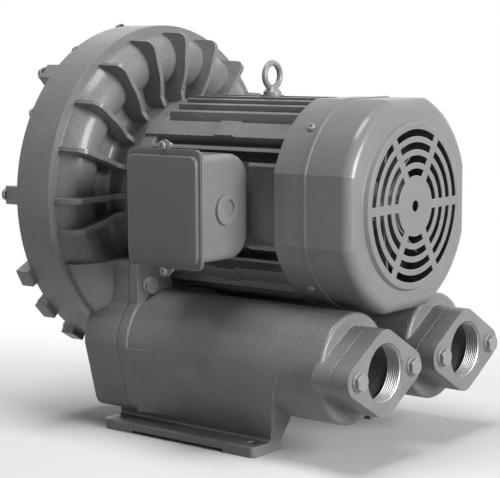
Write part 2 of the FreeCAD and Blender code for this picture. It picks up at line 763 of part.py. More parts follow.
def side_fins(offset_count, distance, half_flat):
    """Parallel fins of one side, pointing up, left and right of the middle plane."""
    fins = []
    for k in range(-offset_count, offset_count + 1):
        offset = k * FIN_PITCH
        if abs(offset) < half_flat:
            continue
        fins.append(block(FRAME_BACK_X, FRAME_FRONT_X, offset - FIN_THICK / 2, offset + FIN_THICK / 2,
                          SHAFT_HEIGHT + distance, SHAFT_HEIGHT + FIN_RADIUS))
    return fins


def motor_frame():
    core = rod_x(FIN_ROOT, FRAME_BACK_X, FRAME_FRONT_X)
    envelope = rod_x(FIN_RADIUS, FRAME_BACK_X, FRAME_FRONT_X)
    low = FIN_ROOT * 0.7
    pieces = []
    for turn, flat in ((0, 0), (90, BOX_FLAT_HALF), (180, 0), (270, 0)):
        for fin in side_fins(FIN_PAIRS, low, flat):
            pieces.append(around(fin, turn).common(envelope))
    for turn in CORNERS:
        land = block(FRAME_BACK_X, FRAME_FRONT_X, -LAND_HALF_WIDTH, LAND_HALF_WIDTH,
                     SHAFT_HEIGHT + low, SHAFT_HEIGHT + LAND_DISTANCE)
        pad = block(PAD_X - PAD_LENGTH / 2, PAD_X + PAD_LENGTH / 2, -LAND_HALF_WIDTH, LAND_HALF_WIDTH,
                    SHAFT_HEIGHT + low, SHAFT_HEIGHT + LAND_DISTANCE + PAD_RAISE)
        pieces += [around(land, turn), around(pad, turn)]
    flat = block(FRAME_BACK_X, FRAME_FRONT_X, -BOX_FLAT_DISTANCE, -low,
                 SHAFT_HEIGHT - BOX_FLAT_HALF, SHAFT_HEIGHT + BOX_FLAT_HALF)
    box_room = block(BOX_X - BOX_WIDTH / 2 - BOX_MARGIN, BOX_X + BOX_WIDTH / 2 + BOX_MARGIN,
                     -FIN_RADIUS, -BOX_FLAT_DISTANCE, BOX_Z - BOX_HEIGHT / 2, BOX_Z + BOX_HEIGHT / 2)
    eye_pad = Part.makeCylinder(EYE_COLLAR + 3, EYE_PAD - low, point(EYE_X, 0, SHAFT_HEIGHT + low))
    body = joined([core, flat, eye_pad] + pieces)
    bore = rod_x(STATOR_RADIUS, FRAME_BACK_X - 1, FRAME_FRONT_X + 1)
    eye_hole = screw_hole(point(EYE_X, 0, SHAFT_HEIGHT + EYE_PAD), ALONG_Z, EYE_THREAD, 13)
    cable = Part.makeCylinder(CABLE_HOLE, BOX_FLAT_DISTANCE + 1 - low, point(BOX_X, -low, BOX_Z), -ALONG_Y)
    tools = [bore, eye_hole, cable, box_room] + box_screw_holes()
    for seat, direction in frame_screw_seats():
        tools.append(screw_hole(seat, direction, SHIELD_SCREW, 30))
    return body.cut(tools)


def frame_screw_seats():
    """Seats of the screws that hold both end shields to the frame lands."""
    seats = []
    for angle in CORNERS:
        y = polar_y(SHIELD_SCREW_CIRCLE, angle)
        z = polar_z(SHIELD_SCREW_CIRCLE, angle)
        seats.append((point(FRAME_BACK_X - 12, y, z), -ALONG_X))
        seats.append((point(SHIELD_FRONT_X, y, z), ALONG_X))
    return seats


def shield_screws():
    screws = [pan_screw(seat, direction, SHIELD_SCREW, SHIELD_SCREW_LENGTH) for seat, direction in frame_screw_seats()]
    return Part.makeCompound(screws)


def bearing_hub(x0, x1):
    return rod_x(BEARING_OUTER + BEARING_WALL, x0, x1)


def bearing_room(x0, x1):
    return rod_x(BEARING_OUTER + RUNNING_GAP / 2, x0, x1)


def drive_end_shield():
    bearing_end = DRIVE_BEARING_X + BEARING_WIDTH
    hub = bearing_hub(NECK_END_X, bearing_end + BEARING_LIP)
    room = bearing_room(DRIVE_BEARING_X, bearing_end + BEARING_LIP + 1)
    through = rod_x(BEARING_SHOULDER, NECK_END_X - 5, bearing_end)
    plate = turned(
        (NECK_END_X, 0),
        (NECK_END_X, SHIELD_RADIUS - 2),
        (NECK_END_X + 2, SHIELD_RADIUS),
        (FRAME_BACK_X - 1, SHIELD_RADIUS),
        (FRAME_BACK_X, SHIELD_RADIUS - 1),
        (FRAME_BACK_X, STATOR_RADIUS - SLIP_GAP),
        (FRAME_BACK_X + 4, STATOR_RADIUS - SLIP_GAP),
        (FRAME_BACK_X + 4, STATOR_RADIUS - 7),
        (NECK_END_X + 8, STATOR_RADIUS - 9),
        (NECK_END_X + 8, 0),
    )
    spigot = rod_x(NECK_FLANGE_BORE - SLIP_GAP, NECK_END_X - 4, NECK_END_X + 1)
    lands = []
    for angle in CORNERS:
        land = block(SHIELD_LAND_X, FRAME_BACK_X, -LAND_HALF_WIDTH, LAND_HALF_WIDTH,
                     SHAFT_HEIGHT + SHIELD_SCREW_CIRCLE, SHAFT_HEIGHT + LAND_DISTANCE)
        lands.append(around(land, angle))
    tools = [room, through]
    for angle in CORNERS:
        seat = point(NECK_END_X, polar_y(NECK_SCREW_CIRCLE, angle), polar_z(NECK_SCREW_CIRCLE, angle))
        tools.append(screw_hole(seat, -ALONG_X, NECK_SCREW, NECK_SCREW_BITE + 0.5))
        y = polar_y(SHIELD_SCREW_CIRCLE, angle)
        z = polar_z(SHIELD_SCREW_CIRCLE, angle)
        tools.append(rod_x(SHIELD_SCREW * 0.9 + SLIP_GAP, NECK_END_X - 1, FRAME_BACK_X - 12, y, z))
        tools.append(rod_x(SHIELD_SCREW / 2 + THREAD_GAP, FRAME_BACK_X - 13, FRAME_BACK_X + 1, y, z))
    return joined([plate, spigot, hub] + lands).cut(tools)


def neck_screw_seats():
    """Seats of the screws that hold the motor to the casing, sunk into the wheel side of the disc."""
    x = FRONT_FACE_X + NECK_RECESS
    return [point(x, polar_y(NECK_SCREW_CIRCLE, angle), polar_z(NECK_SCREW_CIRCLE, angle)) for angle in CORNERS]


def neck_screws():
    screws = []
    for seat in neck_screw_seats():
        screws.append(hex_bolt(seat, -ALONG_X, NECK_SCREW, NECK_END_X - seat.x + NECK_SCREW_BITE))
    return Part.makeCompound(screws)


def fan_end_shield():
    bearing_end = FAN_BEARING_X + BEARING_WIDTH + WASHER_THICK
    hub = bearing_hub(FAN_BEARING_X - BEARING_LIP, bearing_end + BEARING_LIP)
    room = bearing_room(FAN_BEARING_X - BEARING_LIP - 1, bearing_end)
    through = rod_x(BEARING_SHOULDER, bearing_end - 1, bearing_end + BEARING_LIP + 1)
    plate = turned(
        (FRAME_FRONT_X, 0),
        (FRAME_FRONT_X, SHIELD_RADIUS - 8),
        (SHIELD_FRONT_X, SHIELD_RADIUS - 10),
        (SHIELD_FRONT_X, 0),
    )
    reach = COWL_RADIUS - COWL_WALL - SLIP_GAP
    post_end = COWL_SCREW_X + COWL_POST
    ears = []
    for angle in CORNERS:
        post = block(FRAME_FRONT_X, post_end, COWL_POST_ROOT, reach, SHAFT_HEIGHT - COWL_POST, SHAFT_HEIGHT + COWL_POST)
        ears.append(around(post.common(rod_x(reach, FRAME_FRONT_X, post_end)), angle))
        foot = block(FRAME_FRONT_X, SHIELD_FRONT_X, STATOR_RADIUS, COWL_POST_ROOT + 1,
                     SHAFT_HEIGHT - COWL_POST, SHAFT_HEIGHT + COWL_POST)
        ears.append(around(foot, angle))
    spigot = ring_x(STATOR_RADIUS - SLIP_GAP, STATOR_RADIUS - 7, FRAME_FRONT_X - 4, FRAME_FRONT_X + 1)
    tools = [room, through]
    for seat, direction in frame_screw_seats():
        if direction == ALONG_X:
            tools.append(screw_hole(seat, direction, SHIELD_SCREW, SHIELD_THICK + 1))
    for seat, direction in cowl_screw_seats():
        tools.append(screw_hole(seat, direction, COWL_SCREW, 14))
    return joined([plate, hub, spigot] + ears).cut(tools)


def cowl_screw_seats():
    seats = []
    for angle in CORNERS:
        direction = point(0, polar_y(1, angle), polar_z(1, angle, 0))
        seats.append((point(COWL_SCREW_X, 0, SHAFT_HEIGHT) + direction * COWL_RADIUS, direction))
    return seats


def cowl_screws():
    return Part.makeCompound([pan_screw(seat, direction, COWL_SCREW, COWL_SCREW_LENGTH) for seat, direction in cowl_screw_seats()])


def bearing(x0):
    """Outer ring, inner ring, and balls with their cage, for one bearing."""
    shaft_fit = SHAFT_SEAT + 0.02
    ball = (BEARING_OUTER - SHAFT_SEAT - 2 * BEARING_RING) / 2 - RUNNING_GAP
    pitch = (BEARING_OUTER + SHAFT_SEAT) / 2
    groove = 1.6
    x1 = x0 + BEARING_WIDTH
    mid = x0 + BEARING_WIDTH / 2
    outer = turned((x0, BEARING_OUTER), (x1, BEARING_OUTER), (x1, BEARING_OUTER - BEARING_RING),
                   (x0, BEARING_OUTER - BEARING_RING))
    inner = turned((x0, shaft_fit), (x1, shaft_fit), (x1, SHAFT_SEAT + BEARING_RING),
                   (x0, SHAFT_SEAT + BEARING_RING))
    track = Part.makeTorus(pitch, ball + groove, point(mid, 0, SHAFT_HEIGHT), ALONG_X)
    cage = ring_x(pitch + 2, pitch - 2, mid - CAGE_WIDTH / 2, mid + CAGE_WIDTH / 2)
    balls = []
    for k in range(BALL_COUNT):
        angle = k * 360.0 / BALL_COUNT
        balls.append(Part.makeSphere(ball + groove - RUNNING_GAP,
                                     point(mid, polar_y(pitch, angle), polar_z(pitch, angle))))
    return outer.cut(track), inner.cut(track), joined([cage] + balls)


def preload_washer():
    x0 = FAN_BEARING_X + BEARING_WIDTH
    return ring_x(BEARING_OUTER - 1, BEARING_OUTER - BEARING_RING, x0, x0 + WASHER_THICK)


def cowl_body(grow, x0, x1, edge):
    """Round cowl form with four flats and a rounded front edge, grown or shrunk all over."""
    drum = rod_x(COWL_RADIUS + grow, x0, x1)
    square = block(x0, x1, -COWL_FLAT - grow, COWL_FLAT + grow,
                   SHAFT_HEIGHT - COWL_FLAT - grow, SHAFT_HEIGHT + COWL_FLAT + grow)
    if edge:
        rim = [e for e in drum.Edges if e.Curve.TypeId == "Part::GeomCircle" and e.CenterOfMass.x > x1 - 1]
        drum = drum.makeFillet(edge, rim)
        front = [e for e in square.Edges if abs(e.CenterOfMass.x - x1) < 1e-6]
        square = square.makeFillet(edge, front)
    return drum.common(square)


def grille_slots():
    """Rings of slots between the spokes, cut through the front of the cowl."""
    width = (GRILLE_OUTER - GRILLE_HUB - (GRILLE_ROWS - 1) * GRILLE_BAR) / GRILLE_ROWS
    rings = []
    for row in range(GRILLE_ROWS):
        inner = GRILLE_HUB + row * (width + GRILLE_BAR)
        rings.append(ring_x(inner + width, inner, COWL_FRONT_X - 6, GRILLE_X + 1))
    slots = Part.makeCompound(rings)
    spokes = []
    for k in range(SPOKE_COUNT):
        spoke = block(COWL_FRONT_X - 7, GRILLE_X + 2, 0, GRILLE_OUTER + 1,
                      SHAFT_HEIGHT - SPOKE_WIDTH / 2, SHAFT_HEIGHT + SPOKE_WIDTH / 2)
        spokes.append(around(spoke, k * 360.0 / SPOKE_COUNT))
    return slots.cut(spokes)


def fan_cowl():
    outer = cowl_body(0, COWL_BACK_X, COWL_FRONT_X, COWL_EDGE)
    inner = cowl_body(-COWL_WALL, COWL_BACK_X - 1, COWL_FRONT_X - COWL_WALL, COWL_EDGE - COWL_WALL)
    bead = cowl_body(BEAD_HEIGHT, BEAD_X - BEAD_WIDTH / 2, BEAD_X + BEAD_WIDTH / 2, 0)
    disc = turned((COWL_FRONT_X - COWL_WALL, 0), (COWL_FRONT_X - COWL_WALL, GRILLE_DISC + 2),
                  (COWL_FRONT_X, GRILLE_DISC + 2), (GRILLE_X, GRILLE_DISC - 1), (GRILLE_X, 0))
    dish = rod_x(GRILLE_DISC - 3, COWL_FRONT_X - COWL_WALL - 1, GRILLE_X - COWL_WALL)
    body = joined([outer, bead, disc]).cut([inner, dish])
    tools = [grille_slots(), rod_x(GRILLE_HOLE, COWL_FRONT_X - 6, GRILLE_X + 1)]
    tools += [screw_hole(seat, direction, COWL_SCREW, 6) for seat, direction in cowl_screw_seats()]
    return body.cut(tools)


def cooling_fan():
    hub = ring_x(FAN_HUB, SHAFT_FAN + RUNNING_GAP / 2, FAN_BACK_X, FAN_BACK_X + FAN_HUB_WIDTH)
    plate = ring_x(FAN_RADIUS, FAN_HUB - 1, FAN_BACK_X, FAN_BACK_X + FAN_PLATE)
    blades = []
    for k in range(FAN_BLADES):
        blade = block(FAN_BACK_X, FAN_BACK_X + FAN_WIDTH, FAN_HUB - 1, FAN_RADIUS - 1,
                      SHAFT_HEIGHT - FAN_BLADE_THICK / 2, SHAFT_HEIGHT + FAN_BLADE_THICK / 2)
        blades.append(around(blade, k * 360.0 / FAN_BLADES))
    return joined([hub, plate] + blades)


def fan_clip():
    return ring_x(SHAFT_FAN + 3, SHAFT_FAN - 0.8 + RUNNING_GAP / 2, FAN_BACK_X + FAN_HUB_WIDTH,
                  FAN_BACK_X + FAN_HUB_WIDTH + 1.2)


def web_lean():
    """Angle from upright at which the outer face of the web touches its skin round the tube."""
    across = WEB_OUTER - PORT_SPACING / 2
    drop = PORT_HEIGHT - FOOT_THICK
    return math.asin((TUBE_RADIUS + WEB_SKIN) / math.hypot(across, drop)) - math.atan2(across, drop)


def flange_runout():
    """Cast run-out from the rear flange down to the leaning web, on the -Y side."""
    centre = -PORT_SPACING / 2
    low = SHELL_BOTTOM + 1
    middle = (PORT_HEIGHT + low) / 2
    taper = SHELL_TAPER / (PORT_HEIGHT - SHELL_BOTTOM)
    lean = math.tan(web_lean())
    web = -WEB_OUTER + WEB_SKIN / 3 + lean * FOOT_THICK
    heel = (-WEB_INNER - 1, low)
    rear = [(centre - SHELL_RADIUS + taper * (PORT_HEIGHT - z), z) for z in (PORT_HEIGHT, middle, low)]
    front = [(centre - TUBE_RADIUS + WEB_SKIN / 3, PORT_HEIGHT), (web - lean * middle, middle), (web - lean * low, low)]
    sections = []
    for x, corners in ((0, rear), (RUNOUT, front)):
        place = lambda y, z: point(SILENCER_BACK_X + SILENCER_FLANGE - 1 + x, y, z)
        sections.append(outline(place, (centre, PORT_HEIGHT), *corners, heel))
    return Part.makeLoft(sections, True, True)


def silencer_web():
    """Leaning wall between tube and foot, on the -Y side; its skin runs up round the tube to half height."""
    centre = -PORT_SPACING / 2
    radius = TUBE_RADIUS + WEB_SKIN
    lean = web_lean()
    run = math.sqrt(math.hypot(WEB_OUTER - PORT_SPACING / 2, PORT_HEIGHT - FOOT_THICK) ** 2 - radius ** 2)
    middle = math.pi + lean / 2
    skin = TUBE_RADIUS + WEB_SKIN * 0.75
    half = math.pi / 4 - lean / 2
    bite = WEB_ROOT * math.tan(half) * (1 / math.sin(half) - 1)
    profile = extruded_x(
        -FOOT_LENGTH, FOOT_LENGTH,
        (-WEB_OUTER - WEB_ROOT, FOOT_THICK),
        ((-WEB_OUTER - bite * math.cos(half), FOOT_THICK + bite * math.sin(half)),
         (-WEB_OUTER - WEB_ROOT * math.sin(lean), FOOT_THICK + WEB_ROOT * math.cos(lean))),
        (-WEB_OUTER - run * math.sin(lean), FOOT_THICK + run * math.cos(lean)),
        ((centre + skin * math.cos(middle), PORT_HEIGHT + skin * math.sin(middle)),
         (centre - TUBE_RADIUS, PORT_HEIGHT)),
        (centre, PORT_HEIGHT),
        (-WEB_INNER, FOOT_THICK),
    )
    back = -FOOT_LENGTH / 2
    front = FOOT_LENGTH / 2
    wide = centre - 2 * radius
    wire = outline(
        lambda x, z: point(x, wide, z),
        (back, FOOT_THICK - 1),
        (front, FOOT_THICK - 1),
        (front + WEB_LEAN_FRONT, PORT_HEIGHT + 1),
        (back + WEB_LEAN_BACK, PORT_HEIGHT + 1),
    )
    side = Part.Face(wire).extrude(point(0, -wide, 0))
    manifold_room = block(back - 1, SILENCER_BACK_X, wide, 0, SHELL_BOTTOM - GASKET, PORT_HEIGHT)
    return profile.common(side).cut(manifold_room)


def silencer_foot():
    front = FOOT_LENGTH / 2
    plate = block(-front, front, -FOOT_OUTER, -WEB_INNER, 0, FOOT_THICK)
    corners = edges_along(plate, ALONG_Z, lambda p: p.y < -FOOT_OUTER + 1)
    plate = plate.makeFillet(FOOT_CORNER, corners)
    recess = block(-FOOT_RECESS_LENGTH / 2, FOOT_RECESS_LENGTH / 2, -FOOT_OUTER - 1, -WEB_INNER + 1,
                   -1, FOOT_RECESS_DEPTH)
    return plate.cut(recess)


def silencer(side):
    centre = -PORT_SPACING / 2
    tube = rod_x(TUBE_RADIUS, SILENCER_BACK_X, TUBE_END_X, centre, PORT_HEIGHT)
    shoulder = [e for e in tube.Edges if abs(e.CenterOfMass.x - TUBE_END_X) < 1e-3 and e.Closed]
    tube = tube.makeFillet(TUBE_EDGE, shoulder)
    flange_end = SILENCER_BACK_X + SILENCER_FLANGE
    back = shell_section(centre, SILENCER_BACK_X, flange_end)
    neck = rhombus(centre, TUBE_END_X - TUBE_WALL, NECK_FACE_X)
    lobe = manifold_lobe(-1, SILENCER_BACK_X, flange_end)
    parts = [tube, back, lobe, neck, silencer_web(), flange_runout(), silencer_foot()]
    parts += silencer_ears(-1, SILENCER_BACK_X, flange_end)
    body = joined(parts)
    tools = [
        rod_x(MANIFOLD_BORE, SILENCER_BACK_X - 1, flange_end + 1, centre, PORT_HEIGHT),
        rod_x(TUBE_RADIUS - TUBE_WALL, flange_end, TUBE_END_X - TUBE_WALL, centre, PORT_HEIGHT),
        rod_x(PORT_BORE + 1.2, TUBE_END_X - TUBE_WALL - 1, NECK_FACE_X + 1, centre, PORT_HEIGHT),
    ]
    for x in (-HOLE_SPACING_X / 2, HOLE_SPACING_X / 2):
        tools.append(Part.makeCylinder(HOLE_RADIUS, FOOT_THICK + 2, point(x, -HOLE_SPACING_Y / 2, -1)))
    tools += silencer_bolt_holes(-1) + flange_bolt_holes(-1, NECK_FACE_X, 16)
    body = body.cut(tools)
    return body if side < 0 else other_side(body)


def rhombus(centre, x0, x1):
    """Two-bolt flange outline: four arcs joined by straight sides."""
    tip_y = FLANGE_HALF_WIDTH - FLANGE_TIP_ARC
    top_z = FLANGE_HALF_HEIGHT - FLANGE_TOP_ARC
    run = math.hypot(tip_y, top_z)
    slope = math.atan2(top_z, tip_y) + math.asin((FLANGE_TOP_ARC - FLANGE_TIP_ARC) / run)
    normal_y = math.sin(slope)
    normal_z = math.cos(slope)
    tip = (centre + tip_y + FLANGE_TIP_ARC * normal_y, PORT_HEIGHT + FLANGE_TIP_ARC * normal_z)
    top = (centre + FLANGE_TOP_ARC * normal_y, PORT_HEIGHT + top_z + FLANGE_TOP_ARC * normal_z)
    flip_y = lambda p: (2 * centre - p[0], p[1])
    flip_z = lambda p: (p[0], 2 * PORT_HEIGHT - p[1])
    return extruded_x(
        x0, x1,
        tip, top,
        ((centre, PORT_HEIGHT + FLANGE_HALF_HEIGHT), flip_y(top)),
        flip_y(tip),
        ((centre - FLANGE_HALF_WIDTH, PORT_HEIGHT), flip_z(flip_y(tip))),
        flip_z(flip_y(top)),
        ((centre, PORT_HEIGHT - FLANGE_HALF_HEIGHT), flip_z(top)),
        flip_z(tip),
        ((centre + FLANGE_HALF_WIDTH, PORT_HEIGHT), tip),
    )


def flange_bolt_seats(side, x):
    centre = side * PORT_SPACING / 2
    return [point(x, centre + s * FLANGE_BOLT_OFFSET, PORT_HEIGHT) for s in (-1, 1)]


def flange_bolt_holes(side, x, depth):
    return [screw_hole(seat, ALONG_X, FLANGE_BOLT, depth) for seat in flange_bolt_seats(side, x)]


def port_flange(side):
    centre = side * PORT_SPACING / 2
    bore = rod_x(PORT_BORE, FLANGE_BACK_X - 1, PORT_FACE_X + 1, centre, PORT_HEIGHT)
    mouth = Part.makeCone(PORT_BORE, PORT_BORE + PORT_CHAMFER, PORT_CHAMFER,
                          point(PORT_FACE_X - PORT_CHAMFER, centre, PORT_HEIGHT), ALONG_X)
    tools = [bore, mouth] + flange_bolt_holes(side, PORT_FACE_X, FLANGE_THICK + 1)
    return rhombus(centre, FLANGE_BACK_X, PORT_FACE_X).cut(tools)


def flange_gasket(side):
    centre = side * PORT_SPACING / 2
    bore = rod_x(PORT_BORE + 1.2, NECK_FACE_X - 1, FLANGE_BACK_X + 1, centre, PORT_HEIGHT)
    return rhombus(centre, NECK_FACE_X, FLANGE_BACK_X).cut([bore] + flange_bolt_holes(side, FLANGE_BACK_X + 1, 4))


def flange_bolts():
    seats = flange_bolt_seats(-1, PORT_FACE_X) + flange_bolt_seats(1, PORT_FACE_X)
    return Part.makeCompound([hex_bolt(seat, ALONG_X, FLANGE_BOLT, FLANGE_THICK + 14) for seat in seats])


def silencer_gasket(side):
    centre = side * PORT_SPACING / 2
    lobe = manifold_lobe(side, MANIFOLD_END_X, SILENCER_BACK_X)
    sheet = joined([shell_section(centre, MANIFOLD_END_X, SILENCER_BACK_X), lobe]
                   + silencer_ears(side, MANIFOLD_END_X, SILENCER_BACK_X))
    bore = rod_x(MANIFOLD_BORE, SEAM_X - 2, SEAM_X + 2, centre, PORT_HEIGHT)
    return sheet.cut([bore] + silencer_bolt_holes(side))


def silencer_bolts():
    bolts = []
    for side in (-1, 1):
        for angle in EAR_ANGLES:
            y, z = ear_point(side, angle)
            seat = point(SILENCER_BACK_X + SILENCER_FLANGE, y, z)
            bolts.append(hex_bolt(seat, ALONG_X, SILENCER_BOLT, SILENCER_FLANGE + 2.4 * SILENCER_BOLT))
    return Part.makeCompound(bolts)


def silencer_liner(side):
    centre = side * PORT_SPACING / 2
    return ring_x(TUBE_RADIUS - TUBE_WALL - SLIP_GAP, LINER_BORE,
                  SILENCER_BACK_X + SILENCER_FLANGE + LINER_END_GAP / 2,
                  TUBE_END_X - TUBE_WALL - LINER_END_GAP / 2, centre, PORT_HEIGHT)


def box_pan(grow):
    """Deep drawn pan: wide arcs above and below at the motor side, small corners at the sides."""
    half_x = BOX_WIDTH / 2 + grow
    half_z = BOX_HEIGHT / 2 + grow
    arc = BOX_BACK_ARC + grow
    back = BOX_BACK_Y + grow
    inset = arc * ARC_INSET
    wire = outline(
        lambda y, z: point(BOX_X - half_x, y, BOX_Z + z),
        (BOX_RIM_Y, -half_z),
        (back - arc, -half_z),
        ((back - inset, -half_z + inset), (back, -half_z + arc)),
        (back, half_z - arc),
        ((back - inset, half_z - inset), (back - arc, half_z)),
        (BOX_RIM_Y, half_z),
    )
    pan = Part.Face(wire).extrude(point(2 * half_x, 0, 0))
    sides = []
    for edge in pan.Edges:
        if abs(abs(edge.CenterOfMass.x - BOX_X) - half_x) < 1e-3 and edge.CenterOfMass.y > BOX_RIM_Y + 1:
            sides.append(edge)
    return pan.makeFillet(BOX_CORNER + grow, sides)


def lip(y0, y1):
    half_x = BOX_WIDTH / 2 + LIP_OUT_X
    half_z = BOX_HEIGHT / 2 + LIP_OUT_Z
    plate = block(BOX_X - half_x, BOX_X + half_x, y0, y1, BOX_Z - half_z, BOX_Z + half_z)
    plate = plate.makeFillet(BOX_CORNER, edges_along(plate, ALONG_Y, lambda p: True))
    ears = []
    for up in (-1, 1):
        z0 = BOX_Z + up * (half_z - 2)
        z1 = BOX_Z + up * (half_z + EAR_OUT)
        ear = block(BOX_X - EAR_WIDTH / 2, BOX_X + EAR_WIDTH / 2, y0, y1, min(z0, z1), max(z0, z1))
        tip = edges_along(ear, ALONG_Y, lambda p: abs(p.z - z1) < 1e-3)
        ears.append(ear.makeFillet(EAR_WIDTH * 0.45, tip))
    return joined([plate] + ears)


def lid_screw_seats(y):
    reach = BOX_HEIGHT / 2 + LIP_OUT_Z + EAR_OUT * 0.35
    return [point(BOX_X, y, BOX_Z + up * reach) for up in (-1, 1)]


def terminal_box():
    body = joined([box_pan(0), lip(BOX_RIM_Y - BOX_SHEET, BOX_RIM_Y)])
    side_x = BOX_X + BOX_WIDTH / 2
    knock_y = BOX_BACK_Y - KNOCKOUT_INSET
    ring = rod_x(KNOCKOUT_RADIUS, side_x - 1, side_x + KNOCKOUT_RAISE, knock_y, BOX_Z - 2)
    inner = box_pan(-BOX_SHEET)
    mouth = block(BOX_X - BOX_WIDTH / 2 + BOX_SHEET, BOX_X + BOX_WIDTH / 2 - BOX_SHEET,
                  BOX_RIM_Y - BOX_SHEET - 1, BOX_RIM_Y + 1,
                  BOX_Z - BOX_HEIGHT / 2 + BOX_SHEET, BOX_Z + BOX_HEIGHT / 2 - BOX_SHEET)
    mouth = mouth.makeFillet(BOX_CORNER - BOX_SHEET, edges_along(mouth, ALONG_Y, lambda p: True))
    dimple = rod_x(KNOCKOUT_INNER, side_x + KNOCKOUT_RAISE - 0.9, side_x + 5,
                   knock_y + KNOCKOUT_SHIFT_Y, BOX_Z + KNOCKOUT_SHIFT_Z - 2)
    cable = Part.makeCylinder(CABLE_HOLE, BOX_SHEET * 4, point(BOX_X, BOX_BACK_Y + BOX_SHEET, BOX_Z), -ALONG_Y)
    tools = [inner, mouth, cable] + box_screw_holes()
    tools += [screw_hole(seat, -ALONG_Y, LID_SCREW, 12) for seat in lid_screw_seats(BOX_RIM_Y - 6)]
    return joined([body.cut(tools), ring]).cut(dimple)


def box_screw_seats():
    return [point(BOX_X, BOX_BACK_Y - BOX_SHEET, BOX_Z + s * BOX_SCREW_LIFT) for s in (-1, 1)]


def box_screw_holes():
    return [screw_hole(seat, -ALONG_Y, LID_SCREW, BOX_SCREW_LENGTH + 0.5) for seat in box_screw_seats()]


def box_screws():
    return Part.makeCompound([pan_screw(seat, -ALONG_Y, LID_SCREW, BOX_SCREW_LENGTH) for seat in box_screw_seats()])


def box_gasket():
    half_x = BOX_WIDTH / 2 - 2 * BOX_CORNER
    half_z = BOX_HEIGHT / 2 - BOX_BACK_ARC
    sheet = block(BOX_X - half_x, BOX_X + half_x, BOX_BACK_Y, -BOX_FLAT_DISTANCE,
                  BOX_Z - half_z, BOX_Z + half_z)
    cable = Part.makeCylinder(CABLE_HOLE, BOX_SEAL * 3, point(BOX_X, -BOX_FLAT_DISTANCE + BOX_SEAL, BOX_Z), -ALONG_Y)
    return sheet.cut([cable] + box_screw_holes())


def lid_gasket():
    y1 = BOX_RIM_Y - BOX_SHEET
    half_x = BOX_WIDTH / 2 + LIP_OUT_X - 1
    half_z = BOX_HEIGHT / 2 + LIP_OUT_Z - 1
    wall = LIP_OUT_X + 4
    outer = block(BOX_X - half_x, BOX_X + half_x, y1 - GASKET, y1, BOX_Z - half_z, BOX_Z + half_z)
    outer = outer.makeFillet(BOX_CORNER, edges_along(outer, ALONG_Y, lambda p: True))
    inner = block(BOX_X - half_x + wall, BOX_X + half_x - wall, y1 - 3, y1 + 1,
                  BOX_Z - half_z + wall, BOX_Z + half_z - wall)
    return outer.cut(inner)


def terminal_lid():
    y1 = BOX_RIM_Y - BOX_SHEET - GASKET
    y0 = y1 - BOX_SHEET
    half_x = BOX_WIDTH / 2
    half_z = BOX_HEIGHT / 2
    pan = block(BOX_X - half_x, BOX_X + half_x, y0 - LID_DEPTH, y1, BOX_Z - half_z, BOX_Z + half_z)
    pan = pan.makeFillet(BOX_CORNER, edges_along(pan, ALONG_Y, lambda p: True))
    face = [e for e in pan.Edges if abs(e.CenterOfMass.y - y0 + LID_DEPTH) < 1e-3]
    pan = pan.makeFillet(LID_CORNER, face)
    room = block(BOX_X - half_x + BOX_SHEET * 2, BOX_X + half_x - BOX_SHEET * 2, y0 - LID_DEPTH + BOX_SHEET * 2, y1 + 1,
                 BOX_Z - half_z + BOX_SHEET * 2, BOX_Z + half_z - BOX_SHEET * 2)
    holes = [screw_hole(seat, -ALONG_Y, LID_SCREW, 12) for seat in lid_screw_seats(y0 - 4)]
    return joined([pan, lip(y0, y1)]).cut([room] + holes)


def lid_screws():
    y0 = BOX_RIM_Y - 2 * BOX_SHEET - GASKET
    return Part.makeCompound([pan_screw(seat, -ALONG_Y, LID_SCREW, LID_SCREW_LENGTH) for seat in lid_screw_seats(y0)])


def terminal_block():
    """Six-stud terminal board standing on four feet over the cable hole."""
    floor = BOX_BACK_Y - BOX_SHEET
    top = floor - BOARD_LIFT - BOARD_THICK
    board = block(BOX_X - BOARD_HALF_X, BOX_X + BOARD_HALF_X, top, floor - BOARD_LIFT,
                  BOX_Z - BOARD_HALF_Z, BOX_Z + BOARD_HALF_Z)
    cable = Part.makeCylinder(BOARD_HALF_X - BOARD_SIDE, BOARD_THICK + 2, point(BOX_X, top - 1, BOX_Z), ALONG_Y)
    pieces = [board.cut(cable)]
    for side in (-1, 1):
        for up in (-1, 1):
            foot = point(BOX_X + side * (BOARD_HALF_X - BOARD_FOOT), floor, BOX_Z + up * BOARD_FEET_Z)
            pieces.append(Part.makeCylinder(BOARD_FOOT, BOARD_LIFT + 1, foot, -ALONG_Y))
    for dx in (-STUD_PITCH, 0, STUD_PITCH):
        for up in (-1, 1):
            seat = point(BOX_X + dx, top, BOX_Z + up * STUD_ROW)
            pieces.append(hex_bolt(seat, -ALONG_Y, LID_SCREW, 4))
    return joined(pieces)


def eye_bolt():
    base = SHAFT_HEIGHT + EYE_PAD
    eye = Part.makeTorus(EYE_MEAN, EYE_BAR, point(EYE_X, 0, base + EYE_LIFT), ALONG_X)
    collar = Part.makeCylinder(EYE_COLLAR, EYE_COLLAR_HEIGHT * 0.5, point(EYE_X, 0, base))
    neck = Part.makeCone(EYE_COLLAR, EYE_BAR * 1.5, EYE_COLLAR_HEIGHT, point(EYE_X, 0, base + EYE_COLLAR_HEIGHT * 0.5))
    shank = Part.makeCylinder(EYE_THREAD / 2, 12, point(EYE_X, 0, base - 12))
    return joined([eye, collar, neck, shank])


def write(name, shape):
    shape.exportStep("parts/" + name + ".step")


os.makedirs("parts", exist_ok=True)

drive_outer, drive_inner, drive_balls = bearing(DRIVE_BEARING_X)
fan_outer, fan_inner, fan_balls = bearing(FAN_BEARING_X)

